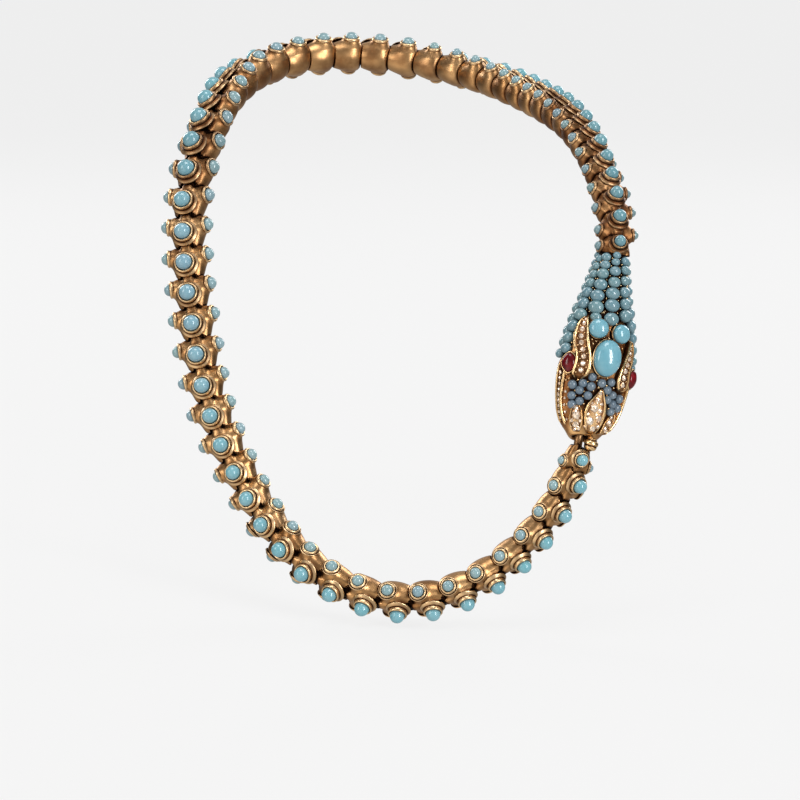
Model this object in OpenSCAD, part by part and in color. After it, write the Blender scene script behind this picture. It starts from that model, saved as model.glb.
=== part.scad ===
// Gold snake necklace that bites its own tail, set with turquoise.
// Short studded links follow a closed loop from the back of the head, round the neck, to the mouth.
// +Z is up, -Y is the wearer's front, and the origin lies on the inner side of the loop at the nape.

/* [Body] */
// Spacing of full-size links along the loop
link_pitch = 7.0; // [6.5:0.1:7.5]
// Length of a link's barrel
link_len = 6.2; // [5.6:0.1:6.3]
// Radius of a link's barrel at its fullest
link_r = 3.75; // [3.4:0.05:4.0]
// Radius of the arc that the barrel bulges by
bulge_r = 6.2; // [5.5:0.1:8]
// How far the fullest part lies towards the head end
bulge_shift = 0.4; // [0:0.1:0.8]
// Radius of the narrow neck that enters the link before it
neck_r = 1.9; // [1.6:0.05:2.0]
// How far that neck goes into the link before it
neck_in = 0.45; // [0.3:0.05:0.6]
// Radius of the barrel's bore
bore_r = 2.2; // [2.15:0.05:2.4]
// Radius of the bore through the neck
neck_bore_r = 1.3; // [1.0:0.05:1.5]

/* [Studs] */
// Angle from the outer stud to each side stud
side_angle = 78; // [70:1:90]
// Place of the outer stud along a link, towards the tail
outer_at = 1.2; // [0.8:0.05:1.4]
// Place of the side studs along a link, towards the head
side_at = -1.15; // [-1.4:0.05:-0.8]
// Width of the ring round an outer stone
outer_ring = 0.42; // [0.3:0.02:0.5]
// Width of the step below that ring
outer_step = 0.35; // [0.2:0.05:0.4]
// Width of the ring round a side stone
side_ring = 0.42; // [0.3:0.02:0.5]
// Width of the step below that ring
side_step = 0.24; // [0.2:0.02:0.3]
// Gap between a stone and its ring
stone_gap = 0.08; // [0.05:0.01:0.1]

/* [Head] */
// Turn of the head about its own axis, from straight outward
head_roll = 32; // [0:1:60]
// Wall of the hollow head
head_wall = 0.8; // [0.6:0.1:1.0]
// Height of the beads that pave the head
pave_h = 1.2; // [0.8:0.1:1.4]
// Radius of the reeded thumb piece
thumb_r = 1.45; // [1.2:0.05:1.5]

/* [Hidden] */
$fn = 48;
gold = "goldenrod";
stone = "mediumturquoise";

// The loop's guide points, from the back of the head round the neck to the mouth and back.
// Columns: x, y, z. A closed cubic B-spline runs past them.
LOOP = [
    [41, -103.5, -35], [42.5, -89, -24.5], [42, -73.5, -17], [41.5, -57, -12], [38.5, -40.5, -9], [35, -23.5, -6.5],
    [28, -8, -3.5], [14, 3, -0.5], [-4, 4.5, 0.5], [-19.5, -4, -2], [-28.5, -18, -7], [-35, -32.5, -13.5],
    [-41, -43.5, -26], [-42, -50.5, -42], [-41, -58.5, -57], [-39, -65.5, -73], [-32.5, -73.5, -87], [-25.5, -84.5, -98.5],
    [-13.5, -94.5, -106.5], [3.5, -101, -107.5], [18.5, -104, -98.5], [28.5, -108, -85], [34, -109, -68.5], [36, -108, -51.5]
];
// Columns: link number from the head, size of the link against a full one.
SIZES = [[0, 0.80], [1, 0.83], [5, 0.87], [10, 0.92], [17, 0.95], [24, 0.99], [28, 1.01], [35, 0.98], [43, 0.94],
    [48, 0.91], [51, 0.88], [54, 0.85], [55, 0.70]];
// Columns: link number from the head, radius of its outer stone, radius of its side stones, both on a full link.
GEMS = [[0, 1.66, 1.15], [17, 1.70, 1.20], [18, 1.84, 1.46], [30, 1.84, 1.46], [31, 1.74, 1.38], [36, 1.70, 1.33],
    [40, 1.60, 1.31], [43, 1.66, 1.30], [55, 1.66, 1.22]];
// Columns: link number from the head, turn of the outer stud from straight outward, in degrees.
TURNS = [[0, -38], [2, -37], [3, -34], [5, -25], [8, -15], [10, -4], [17, 14], [24, 9], [26, -12], [28, -37], [30, -57],
    [32, -67], [35, -70], [38, -67], [41, -60], [43, -49], [45, -27], [47, -9], [49, -1], [51, 0], [53, -4], [54, -6],
    [55, -28]];
// The point that straight outward is measured from.
heart = [0, -55, -52];
last = 55;
start_at = 0.15;
// How far the first link keeps from the head, and the last from the mouth.
collar_shift = 0.6;
tip_shift = 1.0;

// The head's cross-sections. Columns: distance from the neck, half width, height of the top, depth of the underside.
HEAD = [[-0.5, 2.7, 2.7, 2.6], [2, 3.1, 3.0, 2.8], [5, 3.7, 3.5, 3.0], [9, 4.5, 4.0, 3.1], [12, 5.3, 4.4, 3.2],
    [15, 6.1, 4.8, 3.3], [19, 6.9, 5.2, 3.4], [22, 7.6, 5.2, 3.5], [24.5, 7.8, 5.0, 3.5], [27, 7.5, 4.6, 3.4],
    [30, 7.0, 4.0, 3.1], [33, 6.3, 3.4, 2.8], [35.5, 5.2, 2.9, 2.5], [36.7, 4.1, 2.5, 2.3], [37.6, 2.9, 2.1, 2.1],
    [39, 2.9, 2.1, 2.1]];
// The neck end and the mouth end of the head's axis.
head_from = [40, -101.5, -36];
head_to = [32.5, -108, -73];
neck_z = -0.5;
mouth_z = 37.6;
mouth_slope = 0.35;

function column(rows, c) = [for (r = rows) [r[0], r[c]]];
function outer_stone_r(k) = lookup(k, column(GEMS, 1));
function side_stone_r(k) = lookup(k, column(GEMS, 2));
function unit(v) = v / norm(v);
function at(i) = LOOP[(i + 48) % 24];
function spline(t) = let(i = floor(t), u = t - i)
    (pow(1 - u, 3) * at(i - 1) + (3 * pow(u, 3) - 6 * u * u + 4) * at(i)
    + (-3 * pow(u, 3) + 3 * u * u + 3 * u + 1) * at(i + 1) + pow(u, 3) * at(i + 2)) / 6;
steps = 288;
walk = [for (i = [0:steps]) spline(i * 24 / steps)];
run_to = [for (i = 0, s = 0; i <= steps; s = s + (i < steps ? norm(walk[i + 1] - walk[i]) : 0), i = i + 1) [s, i * 24 / steps]];
loop_len = run_to[steps][0];
function wrap(s) = s < 0 ? s + loop_len : s >= loop_len ? s - loop_len : s;
function on_loop(s) = spline(lookup(wrap(s), run_to));
function size_of(k) = lookup(k, SIZES);
function pitch_of(k) = link_pitch * (0.45 + 0.55 * size_of(k));
stations = [for (k = 0, s = start_at; k <= last; s = s + (pitch_of(k) + pitch_of(k + 1)) / 2, k = k + 1)
    s + (k == 0 ? collar_shift : k == last ? -tip_shift : 0)];
function tangent(s) = unit(on_loop(s + 1) - on_loop(s - 1));
function turned(out, t, a) = out * cos(a) + cross(t, out) * sin(a);
function outward(p, t, a) = turned(unit((p - heart) - ((p - heart) * t) * t), t, a);
// Local X points out through the outer stud and local Z runs towards the tail.
function placed(p, x, z) = let(y = cross(z, x)) [[x[0], y[0], z[0], p[0]], [x[1], y[1], z[1], p[1]], [x[2], y[2], z[2], p[2]], [0, 0, 0, 1]];
function link_frame(k) = let(p = on_loop(stations[k]), t = tangent(stations[k])) placed(p, outward(p, t, lookup(k, TURNS)), t);

head_z = unit(head_to - head_from);
head_frame = placed(head_from, outward((head_from + head_to) / 2, head_z, head_roll), head_z);
HALF = column(HEAD, 1);
TOP = column(HEAD, 2);
UNDER = column(HEAD, 3);
// A point of the head's skin at distance z and angle a from the crown, raised by lift.
function skin(z, a, lift = 0) = let(w = lookup(z, HALF), h = cos(a) > 0 ? lookup(z, TOP) : lookup(z, UNDER),
    n = unit([cos(a) / h, sin(a) / w])) [h * cos(a) + lift * n[0], w * sin(a) + lift * n[1], z];

collar_side_at = 0.9;
function to_world(q) = let(f = head_frame) [for (i = [0:2]) f[i][0] * q[0] + f[i][1] * q[1] + f[i][2] * q[2] + f[i][3]];
module at_link(k) { multmatrix(link_frame(k)) scale(size_of(k)) children(); }
module on_head() { multmatrix(head_frame) children(); }
module stud_axis(a, z) { rotate([0, 0, a]) translate([0, 0, z]) rotate([0, 90, 0]) children(); }

module barrel() {
    cuts = [for (i = [0:6]) link_len * (i / 6 - 0.5)];
    rotate_extrude() polygon(concat([[0, cuts[0]]], [for (z = cuts) [sqrt(bulge_r * bulge_r - (z + bulge_shift) * (z + bulge_shift)) + link_r - bulge_r, z]], [[0, cuts[6]]]));
}

// Length of the neck that reaches from link k into the link before it, in the link's own scale.
function neck_of(k) = (stations[k] - stations[k - 1] - link_len / 2 * (size_of(k) + size_of(k - 1))) / size_of(k) + neck_in;

module link_gold(k, neck_len = 0, hollow = true, sides = [-1, 1], side_at = side_at) {
    outer = outer_stone_r(k);
    side = side_stone_r(k);
    difference() {
        union() {
            barrel();
            if (neck_len > 0) translate([0, 0, -link_len / 2 - neck_len]) cylinder(r = neck_r, h = neck_len + 0.6);
            stud_axis(0, outer_at) {
                translate([0, 0, 2.7]) cylinder(r = outer + outer_ring + outer_step, h = 1.4);
                cylinder(r = outer + outer_ring, h = 4.45);
            }
            for (s = sides) stud_axis(s * side_angle, side_at) {
                translate([0, 0, 2.7]) cylinder(r = side + side_ring + side_step, h = 1.6);
                cylinder(r = side + side_ring, h = 4.7);
            }
        }
        if (hollow) {
            translate([0, 0, -link_len / 2 + 1.2]) cylinder(r = bore_r, h = link_len + 2);
            translate([0, 0, -link_len]) cylinder(r = neck_bore_r, h = 2 * link_len);
        }
        stud_axis(0, outer_at) translate([0, 0, 3.8]) cylinder(r = outer + stone_gap, h = 3);
        for (s = sides) stud_axis(s * side_angle, side_at) translate([0, 0, 4.15]) cylinder(r = side + stone_gap, h = 3);
    }
}

// A high domed stone on its base.
module dome(r, base, tip) {
    translate([0, 0, base]) rotate_extrude() intersection() {
        scale([1, (tip - base) / r]) circle(r = r);
        square([r, tip - base]);
    }
}

module link(k) { color(gold) at_link(k) link_gold(k, neck_of(k)); }

// A straight round rod between two points.
module rod(a, b, r) {
    z = unit(b - a);
    multmatrix(placed(a, unit(cross(z, [1, 0, 0.3])), z)) cylinder(r = r, h = norm(b - a));
}

// Links at the back, joined along their thread.
module joined_links(from, to) {
    color(gold) {
        for (k = [from:to]) at_link(k) link_gold(k, k == from ? neck_of(k) : 0, k == to);
        for (k = [from + 1:to]) let(a = on_loop(stations[k - 1]), b = on_loop(stations[k]), d = unit(b - a) * 1.5) rod(a + d, b - d, 2.4);
    }
}
module back_links_a() joined_links(10, 14);
module back_links_b() joined_links(15, 19);
module back_links_c() joined_links(20, 23);

// The small link at the back of the head, cut square where it is soldered on.
module neck_collar() {
    color(gold) difference() {
        at_link(0) link_gold(0, 0, true, [-1], collar_side_at);
        on_head() translate([-12, -12, neck_z - 0.1]) cube([24, 24, 20]);
    }
}

// The last link, drawn in to the tongue that goes into the mouth.
module tail_tip() {
    color(gold) {
        at_link(last) link_gold(last, neck_of(last), false);
        rod(on_loop(stations[last]), to_world([-0.2, 0.9, 34]), 0.9);
    }
}

module outer_stone(k) { at_link(k) stud_axis(0, outer_at) dome(outer_stone_r(k), 3.85, 6.4); }
module side_stone(k, a, z = side_at) { at_link(k) stud_axis(a, z) dome(side_stone_r(k), 4.2, 6.0); }
module outer_stones() { color(stone) for (k = [0:last]) outer_stone(k); }
module side_pairs(from, to) { for (k = [from:to], a = [-side_angle, side_angle]) side_stone(k, a); }
module side_stones_right() { color(stone) { side_stone(0, -side_angle, collar_side_at); side_pairs(1, 16); } }
module side_stones_left() { color(stone) side_pairs(17, 35); }
module side_stones_front() { color(stone) side_pairs(36, last); }

// A closed solid between an outer and an inner grid of points.
module slab(outer, inner) {
    n = len(outer);
    m = len(outer[0]);
    o = n * m;
    pts = concat([for (r = outer) each r], [for (r = inner) each r]);
    faces = concat(
        [for (i = [0:n - 2], j = [0:m - 2]) each [[i * m + j, i * m + j + 1, (i + 1) * m + j + 1], [i * m + j, (i + 1) * m + j + 1, (i + 1) * m + j]]],
        [for (i = [0:n - 2], j = [0:m - 2]) each [[o + i * m + j, o + (i + 1) * m + j + 1, o + i * m + j + 1], [o + i * m + j, o + (i + 1) * m + j, o + (i + 1) * m + j + 1]]],
        [for (i = [0:n - 2]) each [[i * m, (i + 1) * m, o + (i + 1) * m], [i * m, o + (i + 1) * m, o + i * m]]],
        [for (i = [0:n - 2]) each [[i * m + m - 1, o + (i + 1) * m + m - 1, (i + 1) * m + m - 1], [i * m + m - 1, o + i * m + m - 1, o + (i + 1) * m + m - 1]]],
        [for (j = [0:m - 2]) each [[j, o + j + 1, j + 1], [j, o + j, o + j + 1]]],
        [for (j = [0:m - 2]) each [[(n - 1) * m + j, (n - 1) * m + j + 1, o + (n - 1) * m + j + 1], [(n - 1) * m + j, o + (n - 1) * m + j + 1, o + (n - 1) * m + j]]]);
    polyhedron(pts, faces);
}

// A closed skin through rings of points, capped at both ends.
module rings_solid(rings) {
    n = len(rings);
    m = len(rings[0]);
    polyhedron([for (r = rings) each r], concat(
        [[for (j = [0:m - 1]) m - 1 - j], [for (j = [0:m - 1]) (n - 1) * m + j]],
        [for (i = [0:n - 2], j = [0:m - 1]) each [[i * m + j, i * m + (j + 1) % m, (i + 1) * m + (j + 1) % m], [i * m + j, (i + 1) * m + (j + 1) % m, (i + 1) * m + j]]]));
}

// Hollow head, open at the slanted mouth.
module head_shell() {
    na = 36;
    function ring(z, lift) = [for (j = [0:na - 1]) skin(z, j * 360 / na, lift)];
    function slant(w, h, z) = [for (j = [0:na - 1]) let(x = h * cos(j * 360 / na)) [x, w * sin(j * 360 / na), z - mouth_slope * x]];
    color(gold) on_head() rings_solid(concat(
        [for (z = [neck_z, 1, 3, 5, 7, 9, 11, 13, 15, 16.5, 18, 19.5, 21, 22.5, 24, 25.5, 27, 28.5, 30, 31.5, 33, 34.2, 35.2]) ring(z, 0)],
        [slant(4.1, 2.6, 36.2), slant(2.9, 2.1, mouth_z), slant(2.4, 1.65, mouth_z), slant(2.4, 1.65, 36.4)],
        [for (z = [34.6, 33, 31, 28, 25, 22, 19, 16, 13, 10, 7, 4, 1.5]) ring(z, -head_wall)]));
}

// A paved field laid on the head, one solid. Its columns lie at the angles in cols, and rows of edge give
// for an angle where the field starts and ends. spread gives how far the angles close up with distance.
module field(cols, edge, spread, low, high, nz = 9) {
    function grid(lift) = [for (c = cols) let(z0 = lookup(abs(c), column(edge, 1)), z1 = lookup(abs(c), column(edge, 2)))
        [for (j = [0:nz]) let(z = z0 + (z1 - z0) * j / nz) skin(z, c * lookup(z, spread), lift)]];
    slab(grid(low), grid(high));
}
function both_ways(a) = concat([for (i = [len(a) - 1:-1:0]) -a[i]], [0], a);

// Where the paving of the nape starts and ends. Columns: angle from the crown, start, end.
NAPE = [[0, -0.5, 14.3], [5.5, -0.5, 14.3], [15, -0.5, 12.4], [63, -0.5, 12.4], [65, -0.5, 16.5], [69, -0.5, 20.5],
    [74, -0.5, 22.2], [116, -0.5, 22.2]];
// The same over the snout, round the tip of the leaf.
SNOUT = [[0, 25.7, 27.0], [8, 25.7, 27.2], [20, 25.7, 30.4], [24, 25.7, 31.2], [47, 25.7, 31.0]];
module nape_pave() {
    color(stone) on_head() field(both_ways([5.5, 15, 25, 35, 45, 55, 63, 65, 69, 74, 84, 95, 106, 116]), NAPE, [[0, 1], [12.4, 0.9], [22, 0.88]], 0.06, pave_h, 12);
}
module snout_pave() {
    color("steelblue") on_head() field(both_ways([4, 8, 14, 20, 24, 31, 39, 47]), SNOUT, [[0, 1], [40, 1]], 0.06, 0.95, 6);
}

// A stone or plate laid on the head's skin at distance z and angle a.
module laid(z, a, lift, spin = 0) {
    p = skin(z, a, lift);
    q = skin(z, a + 2, lift);
    r = skin(z + 0.6, a, lift);
    n0 = unit(cross(q - p, r - p));
    n = cos(a) * n0[0] + sin(a) * n0[1] > 0 ? n0 : -n0;
    t = unit((r - p) - ((r - p) * n) * n);
    c = cross(n, t);
    multmatrix([[t[0], c[0], n[0], p[0]], [t[1], c[1], n[1], p[1]], [t[2], c[2], n[2], p[2]], [0, 0, 0, 1]]) rotate([0, 0, spin]) children();
}
module oval_dome(l, w, h) { intersection() { scale([l, w, h]) sphere(r = 1); translate([-l, -w, 0]) cube([2 * l, 2 * w, h]); } }

module crown_rounds() { color(stone) on_head() for (s = [-1, 1]) laid(15.6, s * 21.5, 0.45) oval_dome(1.8, 1.8, 2.0); }
module crown_oval() { color(stone) on_head() laid(21.0, 0, 0.75) oval_dome(3.7, 2.65, 2.7); }
module eyes() { color("darkred") on_head() for (s = [-1, 1]) laid(23.2, s * 52, 0.5) oval_dome(1.85, 1.1, 1.5); }

// Brow bands. Columns: distance from the neck, angle from the crown, half width.
BROW = [[12.9, 42, 0.2], [14.3, 46, 0.7], [16, 47, 1.0], [18, 42, 1.2], [20, 35, 1.3], [21.7, 31.5, 1.3], [23.5, 31, 1.1], [25, 34, 0.4]];
module band(rows, side, low, high) {
    n = len(rows);
    function row(i, lift) = let(z = rows[i][0], a = rows[i][1], w = rows[i][2],
        b = rows[min(i + 1, n - 1)], c = rows[max(i - 1, 0)],
        dz = b[0] - c[0], da = (b[1] - c[1]) * 0.12, m = norm([dz, da]))
        [for (j = [-2:2]) let(x = j / 2 * w) skin(z - x * da / m, side * (a + x * dz / m / 0.12), lift + (abs(j) < 2 ? 0.15 : 0))];
    slab(side > 0 ? [for (i = [0:n - 1]) row(i, high)] : [for (i = [0:n - 1]) let(r = row(i, high)) [for (j = [4:-1:0]) r[j]]],
        side > 0 ? [for (i = [0:n - 1]) row(i, low)] : [for (i = [0:n - 1]) let(r = row(i, low)) [for (j = [4:-1:0]) r[j]]]);
}
module brow_bands() { color(gold) on_head() for (s = [-1, 1]) band(BROW, s, 0.3, 1.45); }

// Pointed leaf over the nose.
module leaf_plate(l, w, h) {
    r = (l * l / 4 + w * w / 4) / w;
    linear_extrude(h) intersection() {
        translate([0, r - w / 2]) circle(r = r, $fn = 96);
        translate([0, w / 2 - r]) circle(r = r, $fn = 96);
    }
}
module nose_leaf() { color(gold) on_head() laid(31.9, 0, 0.4) leaf_plate(8.9, 4.1, 0.8); }
module side_petals() { color(gold) on_head() for (s = [-1, 1]) laid(34.0, s * 36, 0.4) leaf_plate(5.4, 2.8, 0.7); }

// Rim line along the jaw. Columns: distance from the neck, angle from the crown, half width.
JAW = [[25.6, 66, 0.4], [28, 68, 0.45], [31, 69, 0.45], [33.5, 68, 0.45], [35.2, 65, 0.35]];
module jaw_rim() { color(gold) on_head() for (s = [-1, 1]) band(JAW, s, 0.06, 0.55); }

// Reeded ball on a bent stem, pressed towards the tongue to let it out of the mouth.
module thumb_piece() {
    ball = [2.3, -1.1, 38.6];
    knee = [0.7, -0.9, 38.5];
    color(gold) on_head() {
        translate(ball) sphere(r = thumb_r);
        rod(ball, knee, 0.4);
        rod(knee + [0.35, 0, 0.2], [1.05, -0.9, 35.2], 0.32);
    }
}

link(1);  // link_01
link(2);  // link_02
link(3);  // link_03
link(4);  // link_04
link(5);  // link_05
link(6);  // link_06
link(7);  // link_07
link(8);  // link_08
link(9);  // link_09
link(24);  // link_24
link(25);  // link_25
link(26);  // link_26
link(27);  // link_27
link(28);  // link_28
link(29);  // link_29
link(30);  // link_30
link(31);  // link_31
link(32);  // link_32
link(33);  // link_33
link(34);  // link_34
link(35);  // link_35
link(36);  // link_36
link(37);  // link_37
link(38);  // link_38
link(39);  // link_39
link(40);  // link_40
link(41);  // link_41
link(42);  // link_42
link(43);  // link_43
link(44);  // link_44
link(45);  // link_45
link(46);  // link_46
link(47);  // link_47
link(48);  // link_48
link(49);  // link_49
link(50);  // link_50
link(51);  // link_51
link(52);  // link_52
link(53);  // link_53
link(54);  // link_54
back_links_a();
back_links_b();
back_links_c();
neck_collar();
tail_tip();
outer_stones();
side_stones_right();
side_stones_left();
side_stones_front();
head_shell();
nape_pave();
crown_rounds();
crown_oval();
brow_bands();
eyes();
snout_pave();
nose_leaf();
side_petals();
jaw_rim();
thumb_piece();
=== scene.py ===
import math

import bpy
import numpy as np
from mathutils import Matrix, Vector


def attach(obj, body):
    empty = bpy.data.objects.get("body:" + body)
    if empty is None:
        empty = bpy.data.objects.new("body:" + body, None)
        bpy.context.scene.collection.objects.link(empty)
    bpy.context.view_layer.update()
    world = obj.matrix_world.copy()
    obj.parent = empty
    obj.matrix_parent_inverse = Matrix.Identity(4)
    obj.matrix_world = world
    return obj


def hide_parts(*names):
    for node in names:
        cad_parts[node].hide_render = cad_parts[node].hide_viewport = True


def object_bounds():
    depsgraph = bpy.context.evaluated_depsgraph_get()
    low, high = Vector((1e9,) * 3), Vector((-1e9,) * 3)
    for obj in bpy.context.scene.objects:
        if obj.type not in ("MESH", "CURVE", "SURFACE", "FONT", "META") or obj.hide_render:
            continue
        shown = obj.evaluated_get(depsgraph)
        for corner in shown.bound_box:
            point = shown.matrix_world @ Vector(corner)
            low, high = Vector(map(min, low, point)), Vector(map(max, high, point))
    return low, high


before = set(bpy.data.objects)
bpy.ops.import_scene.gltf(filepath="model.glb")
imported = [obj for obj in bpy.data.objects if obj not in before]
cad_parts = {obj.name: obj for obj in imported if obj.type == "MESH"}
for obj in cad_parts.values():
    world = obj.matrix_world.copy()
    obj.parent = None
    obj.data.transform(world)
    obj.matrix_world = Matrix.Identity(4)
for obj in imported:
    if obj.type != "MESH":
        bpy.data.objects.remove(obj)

CAD_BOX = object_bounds()
rng = np.random.default_rng(11)

# ------------------------------------------------------------------ the loop, as in the part's source (mm)
LOOP = np.array([
    [41, -103.5, -35], [42.5, -89, -24.5], [42, -73.5, -17], [41.5, -57, -12], [38.5, -40.5, -9], [35, -23.5, -6.5],
    [28, -8, -3.5], [14, 3, -0.5], [-4, 4.5, 0.5], [-19.5, -4, -2], [-28.5, -18, -7], [-35, -32.5, -13.5],
    [-41, -43.5, -26], [-42, -50.5, -42], [-41, -58.5, -57], [-39, -65.5, -73], [-32.5, -73.5, -87], [-25.5, -84.5, -98.5],
    [-13.5, -94.5, -106.5], [3.5, -101, -107.5], [18.5, -104, -98.5], [28.5, -108, -85], [34, -109, -68.5], [36, -108, -51.5]])
SIZES = [[0, 0.80], [1, 0.83], [5, 0.87], [10, 0.92], [17, 0.95], [24, 0.99], [28, 1.01], [35, 0.98], [43, 0.94],
         [48, 0.91], [51, 0.88], [54, 0.85], [55, 0.70]]
GEMS = [[0, 1.44, 1.15], [1, 1.62, 1.15], [17, 1.72, 1.20], [18, 1.88, 1.48], [30, 1.88, 1.48], [31, 1.77, 1.38], [36, 1.73, 1.33], [40, 1.62, 1.31], [43, 1.68, 1.30],
        [55, 1.68, 1.22]]
TURNS = [[0, -38], [2, -37], [3, -34], [5, -25], [8, -15], [10, -4], [17, 14], [24, 9], [26, -12], [28, -37], [30, -57],
         [32, -67], [35, -70], [38, -67], [41, -60], [43, -49], [45, -27], [47, -9], [49, -1], [51, 0], [53, -4], [54, -6],
         [55, -28]]
HEART = np.array([0, -55, -52.0])
LAST = 55
SIDE_ANGLE, OUTER_AT, SIDE_AT, COLLAR_SIDE_AT = 78.0, 1.2, -1.15, 0.9


def column(rows, k, c=1):
    return float(np.interp(k, [r[0] for r in rows], [r[c] for r in rows]))


def unit(v):
    return v / np.linalg.norm(v)


def spline(t):
    i = int(np.floor(t)); u = t - i
    at = lambda j: LOOP[(j + 48) % 24]
    return ((1 - u) ** 3 * at(i - 1) + (3 * u ** 3 - 6 * u * u + 4) * at(i)
            + (-3 * u ** 3 + 3 * u * u + 3 * u + 1) * at(i + 1) + u ** 3 * at(i + 2)) / 6


WALK = np.array([spline(i * 24 / 288) for i in range(289)])
RUN = np.concatenate([[0], np.cumsum(np.linalg.norm(np.diff(WALK, axis=0), axis=1))])


def on_loop(s):
    return spline(float(np.interp(s % RUN[-1], RUN, np.arange(289) * 24 / 288)))


def size_of(k):
    return column(SIZES, k)


def pitch_of(k):
    return 7.0 * (0.45 + 0.55 * size_of(k))


STATIONS, s_ = [], 0.15
for k in range(LAST + 1):
    STATIONS.append(s_ + (0.6 if k == 0 else -1.0 if k == LAST else 0))
    s_ += (pitch_of(k) + pitch_of(k + 1)) / 2 if k < LAST else 0


def turned(o, t, a):
    a = math.radians(a)
    return o * math.cos(a) + np.cross(t, o) * math.sin(a)


def outward(p, t, a):
    w = p - HEART
    return turned(unit(w - (w @ t) * t), t, a)


def placed(p, x, z):
    return p, np.stack([x, np.cross(z, x), z], 1)


def link_frame(k):
    p = on_loop(STATIONS[k])
    t = unit(on_loop(STATIONS[k] + 1) - on_loop(STATIONS[k] - 1))
    return placed(p, outward(p, t, column(TURNS, k)), t)


def neck_of(k):
    return (STATIONS[k] - STATIONS[k - 1] - 3.1 * (size_of(k) + size_of(k - 1))) / size_of(k) + 0.45


# ------------------------------------------------------------------ meshes
class Bag:
    """Gathers closed shells, with one value a vertex for painted shade and patina, and one for tone."""

    def __init__(self):
        self.v, self.f, self.g, self.t, self.n = [], [], [], [], 0

    def add(self, v, f, shade_and_patina=0.0, tone=0.5):
        v = np.asarray(v, float)
        self.v.append(v)
        self.g.append(np.broadcast_to(np.asarray(shade_and_patina, float), (len(v),)))
        self.t.append(np.broadcast_to(np.asarray(tone, float), (len(v),)))
        n = self.n
        self.f.extend([tuple(int(i) + n for i in q) for q in f])
        self.n += len(v)
        return self


def make(name, bag, material, replaces=(), body="necklace", smooth=True, sharp=None):
    me = bpy.data.meshes.new(name)
    me.from_pydata((np.concatenate(bag.v) * 0.001).tolist(), [], bag.f)
    for label, data in (("shade_and_patina", bag.g), ("tone", bag.t)):
        at = me.attributes.new(label, "FLOAT", "POINT")
        at.data.foreach_set("value", np.clip(np.concatenate(data), 0, 1).astype(np.float32))
    me.polygons.foreach_set("use_smooth", np.full(len(me.polygons), smooth))
    if sharp:
        me.set_sharp_from_angle(angle=math.radians(sharp))
    me.materials.append(material)
    ob = bpy.data.objects.new(name, me)
    bpy.context.scene.collection.objects.link(ob)
    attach(ob, body)
    if replaces:
        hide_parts(*replaces)
    return ob


def lathe(profile, seg):
    """A closed solid of revolution about Z. profile rows are (radius, height, painted shade and patina), from the axis
    at the bottom to the axis on top.
    """
    v, f, g = [], [], []
    rings = []
    for r, h, d in profile:
        if r < 1e-6:
            rings.append([len(v)]); v.append((0, 0, h)); g.append(d)
        else:
            rings.append(list(range(len(v), len(v) + seg)))
            for j in range(seg):
                a = 2 * math.pi * j / seg
                v.append((r * math.cos(a), r * math.sin(a), h)); g.append(d)
    for a, b in zip(rings, rings[1:]):
        for j in range(seg):
            m = (j + 1) % seg
            if len(a) == 1:
                f.append((a[0], b[m], b[j]))
            elif len(b) == 1:
                f.append((a[j], a[m], b[0]))
            else:
                f.append((a[j], a[m], b[m], b[j]))
    return np.array(v), f, np.array(g)


def smin(a, b, k):
    h = np.clip(0.5 + 0.5 * (b - a) / k, 0, 1)
    return b + (a - b) * h - k * h * (1 - h)


def smax(a, b, k):
    return -smin(-a, -b, k)


EDGES = [((0, 0, 0), (1, 0, 0)), ((0, 1, 0), (1, 1, 0)), ((0, 0, 1), (1, 0, 1)), ((0, 1, 1), (1, 1, 1)),
         ((0, 0, 0), (0, 1, 0)), ((1, 0, 0), (1, 1, 0)), ((0, 0, 1), (0, 1, 1)), ((1, 0, 1), (1, 1, 1)),
         ((0, 0, 0), (0, 0, 1)), ((1, 0, 0), (1, 0, 1)), ((0, 1, 0), (0, 1, 1)), ((1, 1, 0), (1, 1, 1))]


def gradient(f, p, e=0.03):
    g = np.empty_like(p)
    for i in range(3):
        d = np.zeros(3); d[i] = e
        g[:, i] = (f(p + d) - f(p - d)) / (2 * e)
    return g


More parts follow.
